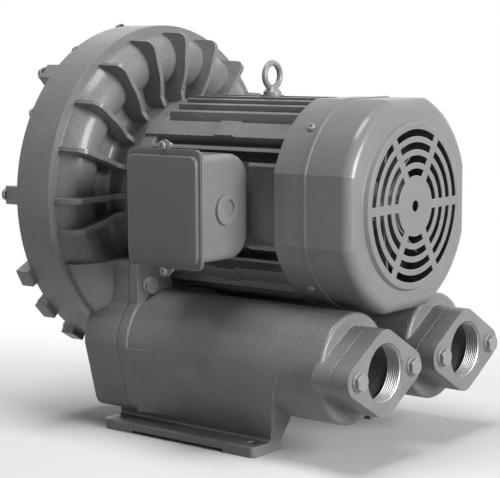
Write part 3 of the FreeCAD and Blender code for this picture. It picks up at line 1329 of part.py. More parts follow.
write("impeller_casing", impeller_casing())
write("casing_cover", casing_cover())
write("cover_gasket", cover_gasket())
write("cover_bolts", cover_bolts())
write("left_silencer", silencer(-1))
write("right_silencer", silencer(1))
write("left_silencer_liner", silencer_liner(-1))
write("right_silencer_liner", silencer_liner(1))
write("left_silencer_gasket", silencer_gasket(-1))
write("right_silencer_gasket", silencer_gasket(1))
write("silencer_bolts", silencer_bolts())
write("left_port_flange", port_flange(-1))
write("right_port_flange", port_flange(1))
write("left_flange_gasket", flange_gasket(-1))
write("right_flange_gasket", flange_gasket(1))
write("flange_bolts", flange_bolts())
write("impeller", impeller())
write("impeller_key", impeller_key())
write("impeller_washer", impeller_washer())
write("impeller_bolt", impeller_bolt())
write("shaft", shaft())
write("shaft_seal", shaft_seal())
write("rotor_core", rotor_core())
write("stator_core", stator_core())
write("stator_windings", stator_windings())
write("motor_frame", motor_frame())
write("drive_end_shield", drive_end_shield())
write("fan_end_shield", fan_end_shield())
write("shield_screws", shield_screws())
write("neck_screws", neck_screws())
write("drive_bearing_outer_ring", drive_outer)
write("drive_bearing_inner_ring", drive_inner)
write("drive_bearing_balls", drive_balls)
write("fan_bearing_outer_ring", fan_outer)
write("fan_bearing_inner_ring", fan_inner)
write("fan_bearing_balls", fan_balls)
write("preload_washer", preload_washer())
write("cooling_fan", cooling_fan())
write("fan_clip", fan_clip())
write("fan_cowl", fan_cowl())
write("cowl_screws", cowl_screws())
write("terminal_box", terminal_box())
write("box_gasket", box_gasket())
write("box_screws", box_screws())
write("terminal_block", terminal_block())
write("lid_gasket", lid_gasket())
write("terminal_lid", terminal_lid())
write("lid_screws", lid_screws())
write("eye_bolt", eye_bolt())
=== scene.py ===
import math

import bpy
from mathutils import Matrix, Vector


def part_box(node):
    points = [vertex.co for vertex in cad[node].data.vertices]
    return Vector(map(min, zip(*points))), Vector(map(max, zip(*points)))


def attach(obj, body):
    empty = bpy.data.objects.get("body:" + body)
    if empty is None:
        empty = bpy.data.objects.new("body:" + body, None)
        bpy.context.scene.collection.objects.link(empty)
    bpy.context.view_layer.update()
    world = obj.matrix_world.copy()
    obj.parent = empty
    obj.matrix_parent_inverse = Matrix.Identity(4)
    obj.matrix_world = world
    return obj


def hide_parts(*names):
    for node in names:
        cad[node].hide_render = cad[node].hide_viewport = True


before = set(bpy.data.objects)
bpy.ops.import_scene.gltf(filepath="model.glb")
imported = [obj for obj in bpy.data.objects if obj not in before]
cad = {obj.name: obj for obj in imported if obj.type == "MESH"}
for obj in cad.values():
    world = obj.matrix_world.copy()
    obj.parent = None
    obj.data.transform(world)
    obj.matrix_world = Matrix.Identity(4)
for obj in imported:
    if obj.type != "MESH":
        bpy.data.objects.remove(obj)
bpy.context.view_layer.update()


# Photographer's stand: the camera looks a little down on the ports, from the side of the fan cowl
# and the terminal box, through a long lens.
camera_data = bpy.data.cameras.new("camera")
camera_data.sensor_width = 36.0
camera_data.lens = 110.1
camera_data.clip_end = 80.0
camera = bpy.data.objects.new("camera", camera_data)
bpy.context.scene.collection.objects.link(camera)
camera_place = (1.0673, -1.3293, 0.4205)
camera_turn = 0.67680
camera_dip = 0.12428
camera_roll = -0.00509
camera.matrix_world = (
    Matrix.Translation(camera_place)
    @ Matrix.Rotation(camera_turn, 4, "Z")
    @ Matrix.Rotation(math.pi / 2 - camera_dip, 4, "X")
    @ Matrix.Rotation(camera_roll, 4, "Z")
)
bpy.context.scene.camera = camera
bpy.context.scene.view_settings.view_transform = "Standard"


# Impeller casing: an aluminium sand casting that holds the side channel, with ribs outside and the
# manifold at its foot. It is fettled, primed and sprayed with dark grey enamel, through which the
# skin of the mould still shows; the paint is thin and rubbed on the edges, and the edges are also
# lightened as a painted highlight.
class Socket:
    """A shader value that can be used in a plain expression."""

    def __init__(self, tree, output):
        self.tree = tree
        self.output = output

    def maths(self, operation, first, second):
        node = self.tree.nodes.new("ShaderNodeMath")
        node.operation = operation
        for slot, value in zip(node.inputs, (first, second)):
            if isinstance(value, Socket):
                self.tree.links.new(value.output, slot)
            else:
                slot.default_value = value
        return Socket(self.tree, node.outputs[0])

    def __add__(self, other):
        return self.maths("ADD", self, other)

    def __radd__(self, other):
        return self.maths("ADD", other, self)

    def __sub__(self, other):
        return self.maths("SUBTRACT", self, other)

    def __rsub__(self, other):
        return self.maths("SUBTRACT", other, self)

    def __mul__(self, other):
        return self.maths("MULTIPLY", self, other)

    def __rmul__(self, other):
        return self.maths("MULTIPLY", other, self)


class Nodes:
    """A node tree, and the one way of adding to it."""

    def __init__(self, tree):
        self.tree = tree

    def node(self, kind, settings, sockets, output=0):
        made = self.tree.nodes.new("ShaderNode" + kind)
        for name, value in settings.items():
            if name == "stops":
                ramp = made.color_ramp.elements
                for stop, (place, grey) in zip(ramp, value):
                    stop.position = place
                    stop.color = (grey, grey, grey, 1.0)
            else:
                setattr(made, name, value)
        for name, value in sockets.items():
            if isinstance(value, Socket):
                self.tree.links.new(value.output, made.inputs[name])
            else:
                made.inputs[name].default_value = value
        return Socket(self.tree, made.outputs[output])


class Finish(Nodes):
    """One surface finish: a material, its shader and the nodes that feed it."""

    def __init__(self, name, **constants):
        self.material = bpy.data.materials.new(name)
        self.material.use_nodes = True
        super().__init__(self.material.node_tree)
        self.shader = self.tree.nodes["Principled BSDF"]
        for socket, value in constants.items():
            self.shader.inputs[socket.replace("_", " ")].default_value = value

    def place(self, centre, stretch=(1.0, 1.0, 1.0)):
        here = self.node("TexCoord", {}, {}, "Object")
        shift = tuple(-c * s for c, s in zip(centre, stretch))
        return self.node("Mapping", {}, {"Vector": here, "Location": shift, "Scale": stretch})

    def speckle(self, where, size, detail=2.0, rough=0.5):
        sockets = {"Vector": where, "Scale": 1.0 / size, "Detail": detail, "Roughness": rough}
        return self.node("TexNoise", {}, sockets)

    def cells(self, where, scale):
        return self.node("TexVoronoi", {}, {"Vector": where, "Scale": scale}, "Distance")

    def ramp(self, value, *stops):
        return self.node("ValToRGB", {"stops": stops}, {"Fac": value})

    def tint(self, share, first, second):
        sockets = {0: share}
        for slot, colour in ((6, first), (7, second)):
            sockets[slot] = colour if isinstance(colour, Socket) else (*colour, 1.0)
        return self.node("Mix", {"data_type": "RGBA"}, sockets, 2)

    def soft_edges(self, radius):
        return self.node("Bevel", {"samples": 6}, {"Radius": radius})

    def edge_wear_and_highlight(self, soft):
        """How much an edge is lightened, for rubbed paint and as a painted highlight: 0 on the
        flat, 1 on a sharp corner.
        """
        true = self.node("NewGeometry", {}, {}, "Normal")
        along = self.node("VectorMath", {"operation": "DOT_PRODUCT"}, {0: soft, 1: true}, "Value")
        return self.ramp(1.0 - along, (0.02, 0.0), (0.16, 1.0))

    def relief(self, height, depth, normal=None):
        sockets = {"Height": height, "Distance": depth, "Strength": 1.0}
        if normal:
            sockets["Normal"] = normal
        return self.node("Bump", {}, sockets)

    def feed(self, name, value):
        self.tree.links.new(value.output, self.shader.inputs[name])

    def dress(self, piece):
        piece.data.materials.clear()
        piece.data.materials.append(self.material)


def middle(node):
    low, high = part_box(node)
    return (low + high) / 2


def cast_enamel(name, centre, skin=1.0, edge=0.0009):
    """Grey enamel on a sand casting: mould grain, slow changes of tone, and edges lightened for
    thin paint and as a painted highlight.
    """
    dark = (0.146, 0.143, 0.145)
    pale = (0.186, 0.183, 0.185)
    grit = (0.26, 0.257, 0.26)
    bare_and_highlight = (0.54, 0.535, 0.54)
    paint = Finish(name, Coat_Weight=0.4, Coat_Roughness=0.16, Specular_IOR_Level=0.25)
    where = paint.place(centre)
    grain = paint.speckle(where, size=0.0026, detail=4.0, rough=0.62)
    clouds = paint.speckle(where, size=0.055, detail=3.0, rough=0.55)
    pits = paint.ramp(paint.cells(where, 310.0), (0.0, 0.0), (0.5, 1.0))
    soft = paint.soft_edges(edge)
    worn_and_highlit_edges = paint.edge_wear_and_highlight(soft)
    broken = paint.speckle(where, size=0.006, detail=3.0, rough=0.6)
    broken = paint.ramp(broken, (0.36, 0.25), (0.62, 1.0))
    shade = paint.tint(paint.ramp(clouds, (0.3, 0.0), (0.7, 1.0)), dark, pale)
    speck = paint.ramp(grain, (0.42, 0.0), (0.60, 1.0))
    shade = paint.tint(speck * 0.2, shade, grit)
    # Edges go toward a pale grey: rubbed paint, and a painted highlight on the rounded edges.
    paint.feed("Base Color", paint.tint(worn_and_highlit_edges * broken * 0.62, shade, bare_and_highlight))
    paint.feed("Roughness", 0.22 + grain * 0.22 - worn_and_highlit_edges * 0.06)
    height = grain * 0.8 + pits * 0.2 + clouds * 1.8
    paint.feed("Normal", paint.relief(height, 0.00085 * skin, soft))
    return paint


cast_enamel("casing_enamel", middle("impeller_casing")).dress(cad["impeller_casing"])


# Impeller: an aluminium casting with radial pockets, turned on its faces, keyed to the shaft and
# held by a steel washer and a bolt in the shaft's end.
def bare_casting(name, centre):
    """Cast aluminium with no paint: dull, grained, with marks of the lathe about the X axis."""
    metal = Finish(name, Metallic=1.0)
    grain = metal.speckle(metal.place(centre), size=0.0022, detail=3.0, rough=0.6)
    lathe = metal.speckle(metal.place(centre, (3600.0, 24.0, 24.0)), size=1.0, detail=1.0)
    soft = metal.soft_edges(0.0006)
    tone = metal.tint(grain, (0.52, 0.525, 0.53), (0.72, 0.72, 0.725))
    # The edges are lightened: wear, and a painted highlight.
    metal.feed("Base Color", metal.tint(metal.edge_wear_and_highlight(soft) * 0.5, tone, (0.86, 0.86, 0.87)))
    metal.feed("Roughness", 0.30 + grain * 0.22 + lathe * 0.08)
    metal.feed("Normal", metal.relief(grain * 0.6 + lathe * 0.25, 0.00016, soft))
    return metal


def turned_steel(name, centre, dull=0.0):
    """Steel from the lathe: fine rings about the X axis, its edges lightened as wear and as a
    painted highlight.
    """
    metal = Finish(name, Metallic=1.0)
    rings = metal.speckle(metal.place(centre, (5200.0, 12.0, 12.0)), size=1.0, detail=1.0)
    stain = metal.speckle(metal.place(centre), size=0.011, detail=3.0, rough=0.6)
    soft = metal.soft_edges(0.0004)
    tone = metal.tint(stain, (0.42, 0.42, 0.43), (0.62, 0.62, 0.63))
    metal.feed("Base Color", metal.tint(metal.edge_wear_and_highlight(soft) * 0.6, tone, (0.82, 0.82, 0.83)))
    metal.feed("Roughness", 0.20 + dull + rings * 0.14 + stain * 0.08)
    metal.feed("Normal", metal.relief(rings, 0.00003, soft))
    return metal


bare_casting("impeller_aluminium", middle("impeller")).dress(cad["impeller"])
for name in ("impeller_key", "impeller_washer", "impeller_bolt"):
    turned_steel(name + "_steel", middle(name), dull=0.08).dress(cad[name])


# Casing cover: the second casting, with the other half of the side channel. Hexagon bolts through
# lugs round its rim clamp it to the casing on a thin rubber gasket.
def seal_rubber(name, centre, dark=(0.022, 0.022, 0.023), dusty=(0.055, 0.055, 0.057)):
    """Black sheet rubber, matt and dusted with talc, or grey where enamel has covered its edge."""
    rubber = Finish(name, Specular_IOR_Level=0.3)
    where = rubber.place(centre)
    talc = rubber.speckle(where, size=0.004, detail=4.0, rough=0.65)
    fine = rubber.speckle(where, size=0.0007)
    dusted = rubber.ramp(talc, (0.4, 0.0), (0.75, 1.0))
    rubber.feed("Base Color", rubber.tint(dusted, dark, dusty))
    rubber.feed("Roughness", 0.62 + talc * 0.25)
    rubber.feed("Normal", rubber.relief(fine, 0.00005, rubber.soft_edges(0.0003)))
    return rubber


def bolt_enamel(name, centre):
    """Grey enamel over a machine-made steel head: smooth, its corners lightened where the spanner
    wore them and as a painted highlight.
    """
    paint = Finish(name, Coat_Weight=0.3, Coat_Roughness=0.2)
    where = paint.place(centre)
    peel = paint.speckle(where, size=0.0012)
    patch = paint.speckle(where, size=0.004, detail=3.0, rough=0.6)
    soft = paint.soft_edges(0.0007)
    chipped_and_highlit = paint.edge_wear_and_highlight(soft) * paint.ramp(patch, (0.4, 0.2), (0.6, 1.0))
    shade = paint.tint(patch, (0.18, 0.177, 0.18), (0.25, 0.247, 0.25))
    paint.feed("Base Color", paint.tint(chipped_and_highlit, shade, (0.55, 0.55, 0.555)))
    paint.feed("Roughness", 0.28 + peel * 0.16)
    paint.feed("Normal", paint.relief(peel, 0.00006, soft))
    return paint


def alone():
    bpy.ops.object.select_all(action="DESELECT")


def edit():
    bpy.ops.object.mode_set(mode="EDIT")


def done():
    bpy.ops.object.mode_set(mode="OBJECT")


def pick_faces(piece, *ways):
    """Selects, in edit mode, the faces that look squarely along one of the given directions."""
    squarely = 0.99
    bpy.ops.mesh.select_mode(type="FACE")
    bpy.ops.mesh.select_all(action="DESELECT")
    done()
    for face in piece.data.polygons:
        face.select = any(face.normal.dot(Vector(way)) > squarely for way in ways)
    edit()


def align_faces(inside=False):
    """Turns all faces of the piece in edit mode outwards, or all of them inwards."""
    bpy.ops.mesh.select_all(action="SELECT")
    bpy.ops.mesh.normals_make_consistent(inside=inside)


def place_in_mesh():
    bpy.ops.object.transform_apply(location=True, rotation=True, scale=True)


def smooth_below(degrees):
    bpy.ops.object.shade_smooth_by_angle(angle=math.radians(degrees))


def modified(piece, kind, **settings):
    """Puts a modifier on the active piece and applies it."""
    tool = piece.modifiers.new(kind.lower(), kind)
    for name, value in settings.items():
        setattr(tool, name, value)
    bpy.ops.object.modifier_apply(modifier=tool.name)


def joined(parts, smooth):
    """Joins the parts to the first, with their places in its mesh, and smooths gentle edges."""
    alone()
    for part in parts:
        part.select_set(True)
    bpy.context.view_layer.objects.active = parts[0]
    place_in_mesh()
    bpy.ops.object.join()
    smooth_below(smooth)
    return parts[0]


def flat_washer(thread, outer, thick):
    """Plain washer on the origin's plane: a disc, both faces inset and bridged to a hole."""
    hole = thread * 0.53
    alone()
    bpy.ops.mesh.primitive_cylinder_add(
        vertices=48, radius=outer, depth=thick, location=(0, 0, thick / 2))
    washer = bpy.context.object
    edit()
    pick_faces(washer, (0, 0, 1), (0, 0, -1))
    bpy.ops.mesh.inset(thickness=outer - hole)
    bpy.ops.mesh.bridge_edge_loops()
    align_faces()
    done()
    modified(washer, "BEVEL", width=thick * 0.18, segments=2, limit_method="ANGLE")
    return washer


def plain_shank(thread, length, sides, chamfer):
    """Shank that hangs from the origin's plane, its tip chamfered."""
    alone()
    bpy.ops.mesh.primitive_cylinder_add(
        vertices=sides, radius=thread / 2, depth=length, location=(0, 0, -length / 2))
    shank = bpy.context.object
    edit()
    pick_faces(shank, (0, 0, -1))
    bpy.ops.mesh.bevel(offset=chamfer, segments=1, affect="EDGES")
    done()
    return shank


def hexagon_bolt(thread, length):
    """Hexagon bolt standing on the origin's plane: chamfered head, washer, and shank below."""
    head_high = 0.65 * thread
    corner = 1.65 * thread / math.sqrt(3)
    cone_high = head_high + corner * 0.02
    alone()
    bpy.ops.mesh.primitive_cone_add(
        vertices=64, radius1=corner * 1.62, radius2=corner * 0.86,
        depth=cone_high, location=(0, 0, cone_high / 2))
    chamfer = bpy.context.object
    alone()
    bpy.ops.mesh.primitive_cylinder_add(
        vertices=6, radius=corner, depth=head_high, location=(0, 0, head_high / 2))
    bolt = bpy.context.object
    modified(bolt, "BOOLEAN", operation="INTERSECT", object=chamfer)
    bpy.data.objects.remove(chamfer)
    shank = plain_shank(thread, length, 32, thread * 0.09)
    washer = flat_washer(thread, outer=thread, thick=thread * 0.16)
    return joined([bolt, shank, washer], smooth=28)


def stand(mesh, seat, direction):
    """Moves a mesh from the origin's plane to its seat, its top in the given direction."""
    turn = Vector(direction).to_track_quat("Z", "Y").to_matrix().to_4x4()
    mesh.transform(Matrix.Translation(seat) @ turn)


def stand_copies(pattern, name, seats, finish, node):
    """One copy of the pattern at each seat, each with its own mesh, in place of a node."""
    for number, (seat, direction) in enumerate(seats, 1):
        mesh = pattern.data.copy()
        stand(mesh, seat, direction)
        piece = bpy.data.objects.new(f"{name}_{number}", mesh)
        bpy.context.scene.collection.objects.link(piece)
        finish(f"{name}_{number}_enamel", seat).dress(piece)
        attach(piece, "frame")
        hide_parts(node)


def on_circle(x, y, z, radius, degrees):
    turn = math.radians(degrees)
    return (x, y + radius * math.cos(turn), z + radius * math.sin(turn))


cast_enamel("cover_enamel", middle("casing_cover")).dress(cad["casing_cover"])
seal_rubber("cover_gasket_rubber", middle("cover_gasket")).dress(cad["cover_gasket"])

shaft_height = 0.257998
rim_back = -0.176
lug_face = rim_back - 0.0177
lug_circle = 0.1837
rim_circle = 0.1843
lug_seats = []
for degrees in (1, 47, 90, 133, 179, 208, 223, 239, 301, 317, 332):
    lug_seats.append((on_circle(lug_face, 0.0, shaft_height, lug_circle, degrees), (-1, 0, 0)))
rim_seats = []
for degrees in (30, 60, 120, 150):
    rim_seats.append((on_circle(rim_back, 0.0, shaft_height, rim_circle, degrees), (-1, 0, 0)))
lug_bolt = hexagon_bolt(thread=0.008, length=0.0365)
rim_bolt = hexagon_bolt(thread=0.006, length=0.014)
stand_copies(lug_bolt, "lug_bolt", lug_seats, bolt_enamel, "cover_bolts")
stand_copies(rim_bolt, "rim_bolt", rim_seats, bolt_enamel, "cover_bolts")
bpy.data.objects.remove(lug_bolt)
bpy.data.objects.remove(rim_bolt)


# Shaft, its two ball bearings and the lip seal behind the impeller: ground bearing steel, with a
# wavy spring washer that loads the bearing at the fan end.
for name in ("shaft", "drive_bearing_outer_ring", "drive_bearing_inner_ring",
             "drive_bearing_balls", "fan_bearing_outer_ring", "fan_bearing_inner_ring",
             "fan_bearing_balls", "preload_washer"):
    turned_steel(name + "_steel", middle(name)).dress(cad[name])
seal_rubber("shaft_seal_rubber", middle("shaft_seal")).dress(cad["shaft_seal"])


# Rotor and stator cores: stacks of thin electrical sheet, pressed on the shaft and into the frame.
# The edges of the sheets show as fine lines along the motor, two to the millimetre.
def stacked_sheet(name, centre):
    """Electrical sheet half a millimetre thick, dark from annealing."""
    stack = Finish(name, Metallic=0.85)
    where = stack.place(centre)
    lines = stack.node("TexWave", {"bands_direction": "X"}, {
        "Vector": where, "Scale": 628.0, "Distortion": 0.4, "Detail": 1.0})
    heat = stack.speckle(where, size=0.02, detail=3.0, rough=0.6)
    tone = stack.tint(heat, (0.16, 0.16, 0.17), (0.30, 0.29, 0.28))
    stack.feed("Base Color", stack.tint(lines * 0.4, tone, (0.40, 0.40, 0.41)))
    stack.feed("Roughness", 0.36 + heat * 0.2)
    stack.feed("Normal", stack.relief(lines, 0.00012))
    return stack


for name in ("rotor_core", "stator_core"):
    stacked_sheet(name + "_sheet", middle(name)).dress(cad[name])


# Stator windings: rings of varnished copper wire, laced and dipped, at both ends of the core. The
# wires run round the motor and cross each other, and the varnish lies darker where it pooled.
copper = Finish("varnished_copper", Coat_Weight=0.6, Coat_Roughness=0.12)
copper_place = copper.place(middle("stator_windings"))
wire = copper.node("TexWave", {"bands_direction": "X"}, {
    "Vector": copper_place, "Scale": 210.0, "Distortion": 3.0, "Detail": 2.0, "Detail Scale": 0.6})
crossed = copper.node("TexWave", {"wave_type": "RINGS", "rings_direction": "X"}, {
    "Vector": copper_place, "Scale": 190.0, "Distortion": 2.0})
strand = wire * 0.6 + crossed * 0.4
varnish = copper.speckle(copper_place, size=0.012, detail=3.0, rough=0.6)
pooled = copper.tint(varnish, (0.16, 0.05, 0.02), (0.26, 0.09, 0.03))
copper.feed("Base Color", copper.tint(strand, pooled, (0.58, 0.24, 0.10)))
copper.feed("Metallic", 0.55 + strand * 0.35)
copper.feed("Roughness", 0.28 + varnish * 0.2)
copper.feed("Normal", copper.relief(strand, 0.0006))
copper.dress(cad["stator_windings"])


# Motor frame: a finned aluminium casting with flat lands at 45 degrees. It and the two end shields
# are held together by screws, and the drive end is screwed to the casing's neck.
zinc_dull = 0.12
cast_enamel("frame_enamel", middle("motor_frame"), skin=0.8).dress(cad["motor_frame"])
for name in ("drive_end_shield", "fan_end_shield"):
    cast_enamel(name + "_enamel", middle(name), skin=0.8).dress(cad[name])
for name in ("neck_screws", "shield_screws"):
    turned_steel(name + "_zinc", middle(name), zinc_dull).dress(cad[name])


# Cooling fan: one moulding in dark grey plastic, pressed on the shaft behind the grille and kept
# there by a spring clip.
def filled_plastic(name, centre):
    """Glass-filled plastic: matt, with a faint grain, and edges paler from scuffs and as a painted
    highlight.
    """
    plastic = Finish(name, Specular_IOR_Level=0.4)
    where = plastic.place(centre)
    texture = plastic.speckle(where, size=0.0009)
    flow = plastic.speckle(where, size=0.03, detail=3.0, rough=0.6)
    soft = plastic.soft_edges(0.0006)
    tone = plastic.tint(flow, (0.20, 0.199, 0.201), (0.27, 0.269, 0.271))
    plastic.feed("Base Color", plastic.tint(plastic.edge_wear_and_highlight(soft) * 0.6, tone, (0.42, 0.42, 0.425)))
    plastic.feed("Roughness", 0.42 + texture * 0.2)
    plastic.feed("Normal", plastic.relief(texture, 0.00006, soft))
    return plastic


filled_plastic("fan_plastic", middle("cooling_fan")).dress(cad["cooling_fan"])
turned_steel("fan_clip_steel", middle("fan_clip")).dress(cad["fan_clip"])


# Fan cowl: deep-drawn sheet steel with a rolled bead, flats on its sides and a pressed grille, in
# smooth semi-gloss enamel. Four pan-head screws hold it to the posts of the fan end shield.
def sheet_enamel(name, centre, edge=0.0008, painted_light_scale=1.0, edge_wear_and_highlight_share=0.45, gloss=0.4):
    """Grey enamel on pressed sheet steel: orange peel, faint runs, edges lightened for thin paint
    and as a painted highlight.
    """
    # The colours are scaled as a whole: below 1 a painted shade, above 1 a painted light.
    dark = tuple(part * painted_light_scale for part in (0.163, 0.160, 0.162))
    pale = tuple(part * painted_light_scale for part in (0.185, 0.182, 0.184))
    lint = (0.30, 0.296, 0.30)
    bare_and_highlight = (0.52, 0.515, 0.52)
    paint = Finish(name, Coat_Weight=gloss, Coat_Roughness=0.13, Specular_IOR_Level=0.25)
    where = paint.place(centre)
    peel = paint.speckle(where, size=0.0019)
    waves = paint.speckle(where, size=0.05)
    dust = paint.speckle(where, size=0.0011, detail=4.0, rough=0.7)
    soft = paint.soft_edges(edge)
    shade = paint.tint(paint.ramp(waves, (0.3, 0.0), (0.7, 1.0)), dark, pale)
    shade = paint.tint(paint.ramp(dust, (0.60, 0.0), (0.72, 1.0)) * 0.2, shade, lint)
    # Edges go toward bare steel: thin paint, and a painted highlight.
    paint.feed("Base Color", paint.tint(paint.edge_wear_and_highlight(soft) * edge_wear_and_highlight_share, shade, bare_and_highlight))
    paint.feed("Roughness", 0.29 + peel * 0.10 + dust * 0.04)
    paint.feed("Normal", paint.relief(peel * 0.55 + waves * 1.8, 0.00016, soft))
    return paint


def rolled_bead(x, radius, flat, wide):
    """Bead rolled in the cowl's wall: a hoop with four flats, given a wall and a round crown."""
    wall = 0.0016
    crown = 0.00075
    alone()
    bpy.ops.mesh.primitive_circle_add(
        vertices=176, radius=radius, location=(x - wide / 2, 0, shaft_height),
        rotation=(0, math.pi / 2, 0))
    bead = bpy.context.object
    bead.name = "cowl_bead"
    place_in_mesh()
    for point in bead.data.vertices:
        point.co.y = max(-flat, min(flat, point.co.y))
        point.co.z = max(shaft_height - flat, min(shaft_height + flat, point.co.z))
    edit()
    bpy.ops.mesh.select_mode(type="EDGE")
    bpy.ops.mesh.select_all(action="SELECT")
    bpy.ops.mesh.extrude_region_move(TRANSFORM_OT_translate={"value": (wide, 0, 0)})
    align_faces()
    done()
    modified(bead, "SOLIDIFY", thickness=wall, offset=-1.0)
    modified(bead, "BEVEL", width=crown, segments=4, limit_method="ANGLE",
             angle_limit=math.radians(60))
    edit()
    align_faces()
    done()
    smooth_below(50)
    return bead


def pan_screw(thread, length):
    """Pan-head screw on the origin's plane: domed head with a cross recess, and shank below."""
    radius = thread * 0.9
    high = thread * 0.6
    slot_long = radius * 1.1
    slot_wide = radius * 0.26
    alone()
    bpy.ops.mesh.primitive_cube_add(size=1.0, location=(0, 0, high))
    cross = bpy.context.object
    edit()
    bpy.ops.transform.resize(value=(slot_long, slot_wide, high * 0.9))
    bpy.ops.mesh.duplicate()
    bpy.ops.transform.resize(value=(slot_wide / slot_long, slot_long / slot_wide, 1.0))
    done()
    alone()
    bpy.ops.mesh.primitive_cylinder_add(
        vertices=40, radius=radius, depth=high, location=(0, 0, high / 2))
    screw = bpy.context.object
    edit()
    pick_faces(screw, (0, 0, 1))
    bpy.ops.mesh.bevel(offset=high * 0.55, segments=4, affect="EDGES")
    done()
    modified(screw, "BOOLEAN", operation="DIFFERENCE", use_self=True, object=cross)
    bpy.data.objects.remove(cross)
    shank = plain_shank(thread, length, 24, thread * 0.1)
    return joined([screw, shank], smooth=32)


sheet_enamel("cowl_enamel", middle("fan_cowl"), edge=0.0018).dress(cad["fan_cowl"])

bead_x = 0.1577
cowl_bead = rolled_bead(bead_x, radius=0.1171, flat=0.1111, wide=0.0034)
sheet_enamel("bead_enamel", (bead_x, 0.0, shaft_height), edge=0.0002).dress(cowl_bead)
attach(cowl_bead, "frame")

cowl_radius = 0.116
cowl_screw_x = 0.146
screw_thread = 0.005
cowl_screw_seats = []
for degrees in (45, 135, 225, 315):
    out = on_circle(0.0, 0.0, 0.0, 1.0, degrees)
    seat = on_circle(cowl_screw_x, 0.0, shaft_height, cowl_radius, degrees)
    cowl_screw_seats.append((seat, out))
cowl_screw = pan_screw(screw_thread, length=0.013)
stand_copies(cowl_screw, "cowl_screw", cowl_screw_seats, bolt_enamel, "cowl_screws")


# Terminal box: a drawn steel pan and lid on the flat of the motor frame, sealed by two gaskets and
# enamelled with the machine. A boss for the cable entry is pressed in its side, and inside stands
# a moulded block with six studs.
sheet_enamel("box_enamel", middle("terminal_box")).dress(cad["terminal_box"])
box_middle = middle("terminal_box")


def pressed_plate(low, high, corner, edge):
    """Sheet panel: a block drawn to size, its upright corners rounded, its outer edge eased."""
    alone()
    bpy.ops.mesh.primitive_cube_add(size=1.0, location=[(a + b) / 2 for a, b in zip(low, high)])
    plate = bpy.context.object
    edit()
    bpy.ops.transform.resize(value=[b - a for a, b in zip(low, high)])
    bpy.ops.mesh.select_mode(type="EDGE")
    bpy.ops.mesh.select_all(action="DESELECT")
    done()
    points = plate.data.vertices
    for side in plate.data.edges:
        first, second = (points[number].co for number in side.vertices)
        side.select = abs(first.y - second.y) > (high[1] - low[1]) / 2
    edit()
    bpy.ops.mesh.bevel(offset=corner, segments=8, affect="EDGES")
    pick_faces(plate, (0, -1, 0))
    bpy.ops.mesh.bevel(offset=edge, segments=4, affect="EDGES")
    done()
    return plate


def box_lid():
    """Drawn lid: raised pan with a hollow back, on a flat lip with two ears for the screws."""
    sheet = 0.0016
    corner = 0.008
    pan_margin = 0.0025
    pan_half_high = 0.0545
    pan_edge = 0.0021
    lip_half_high = 0.0610
    lip_wide = 0.0072
    cut_edge = 0.0004
    ear_half_wide = 0.0065
    ear_corner = 0.0055
    ear_long = 0.0120
    overlap = 0.00003
    low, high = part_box("terminal_lid")
    pan = pressed_plate((low.x + pan_margin, low.y, box_middle.z - pan_half_high),
                        (high.x - pan_margin, high.y, box_middle.z + pan_half_high),
                        corner, pan_edge)
    edit()
    pick_faces(pan, (0, 1, 0))
    bpy.ops.mesh.inset(thickness=sheet * 2)
    hollow = low.y + sheet * 2 - high.y
    bpy.ops.mesh.extrude_region_move(TRANSFORM_OT_translate={"value": (0, hollow, 0)})
    done()
    lip = pressed_plate((low.x, high.y - sheet, box_middle.z - lip_half_high),
                        (high.x, high.y, box_middle.z + lip_half_high), corner, cut_edge)
    edit()
    pick_faces(lip, (0, 1, 0), (0, -1, 0))
    bpy.ops.mesh.inset(thickness=lip_wide)
    bpy.ops.mesh.bridge_edge_loops()
    done()
    parts = [pan, lip]
    for near, far in ((low.z, low.z + ear_long), (high.z - ear_long, high.z)):
        ear = pressed_plate((box_middle.x - ear_half_wide, high.y - sheet + overlap, near),
                            (box_middle.x + ear_half_wide, high.y - overlap, far),
                            ear_corner, cut_edge)
        parts.append(ear)
    made = joined(parts, smooth=30)
    made.name = "lid"
    return made


lid = box_lid()
# The lid's enamel is scaled darker than the box's, a painted shade, as the lid faces away from the
# lamps.
sheet_enamel("lid_enamel_painted_shade", middle("terminal_lid"), edge=0.0005, painted_light_scale=0.64).dress(lid)
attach(lid, "frame")
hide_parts("terminal_lid")


def knock_out_boss(seat):
    """Pressed boss for a cable gland: sloping flank, flat crown, eccentric dish, round edges."""
    high = 0.0042
    sunk = 0.0008
    crown_wide = 0.0068
    dish_shift = (0.0026, 0.0017, 0)
    dish_deep = 0.0030
    dish_taper = 0.94
    alone()
    bpy.ops.mesh.primitive_cone_add(
        vertices=72, radius1=0.0161, radius2=0.0156, depth=high, location=(0, 0, high / 2 - sunk))
    boss = bpy.context.object
    boss.name = "knock_out"
    place_in_mesh()
    edit()
    pick_faces(boss, (0, 0, 1))
    bpy.ops.mesh.inset(thickness=crown_wide)
    bpy.ops.transform.translate(value=dish_shift)
    bpy.ops.mesh.extrude_region_move(TRANSFORM_OT_translate={"value": (0, 0, -dish_deep)})
    bpy.ops.transform.resize(value=(dish_taper, dish_taper, 1.0))
    done()
    modified(boss, "BEVEL", width=0.0004, segments=3, limit_method="ANGLE")
    smooth_below(40)
    stand(boss.data, seat, (1, 0, 0))
    return boss


knock_out_seat = (0.0774, -0.1370, 0.2570)
knock_out = knock_out_boss(knock_out_seat)
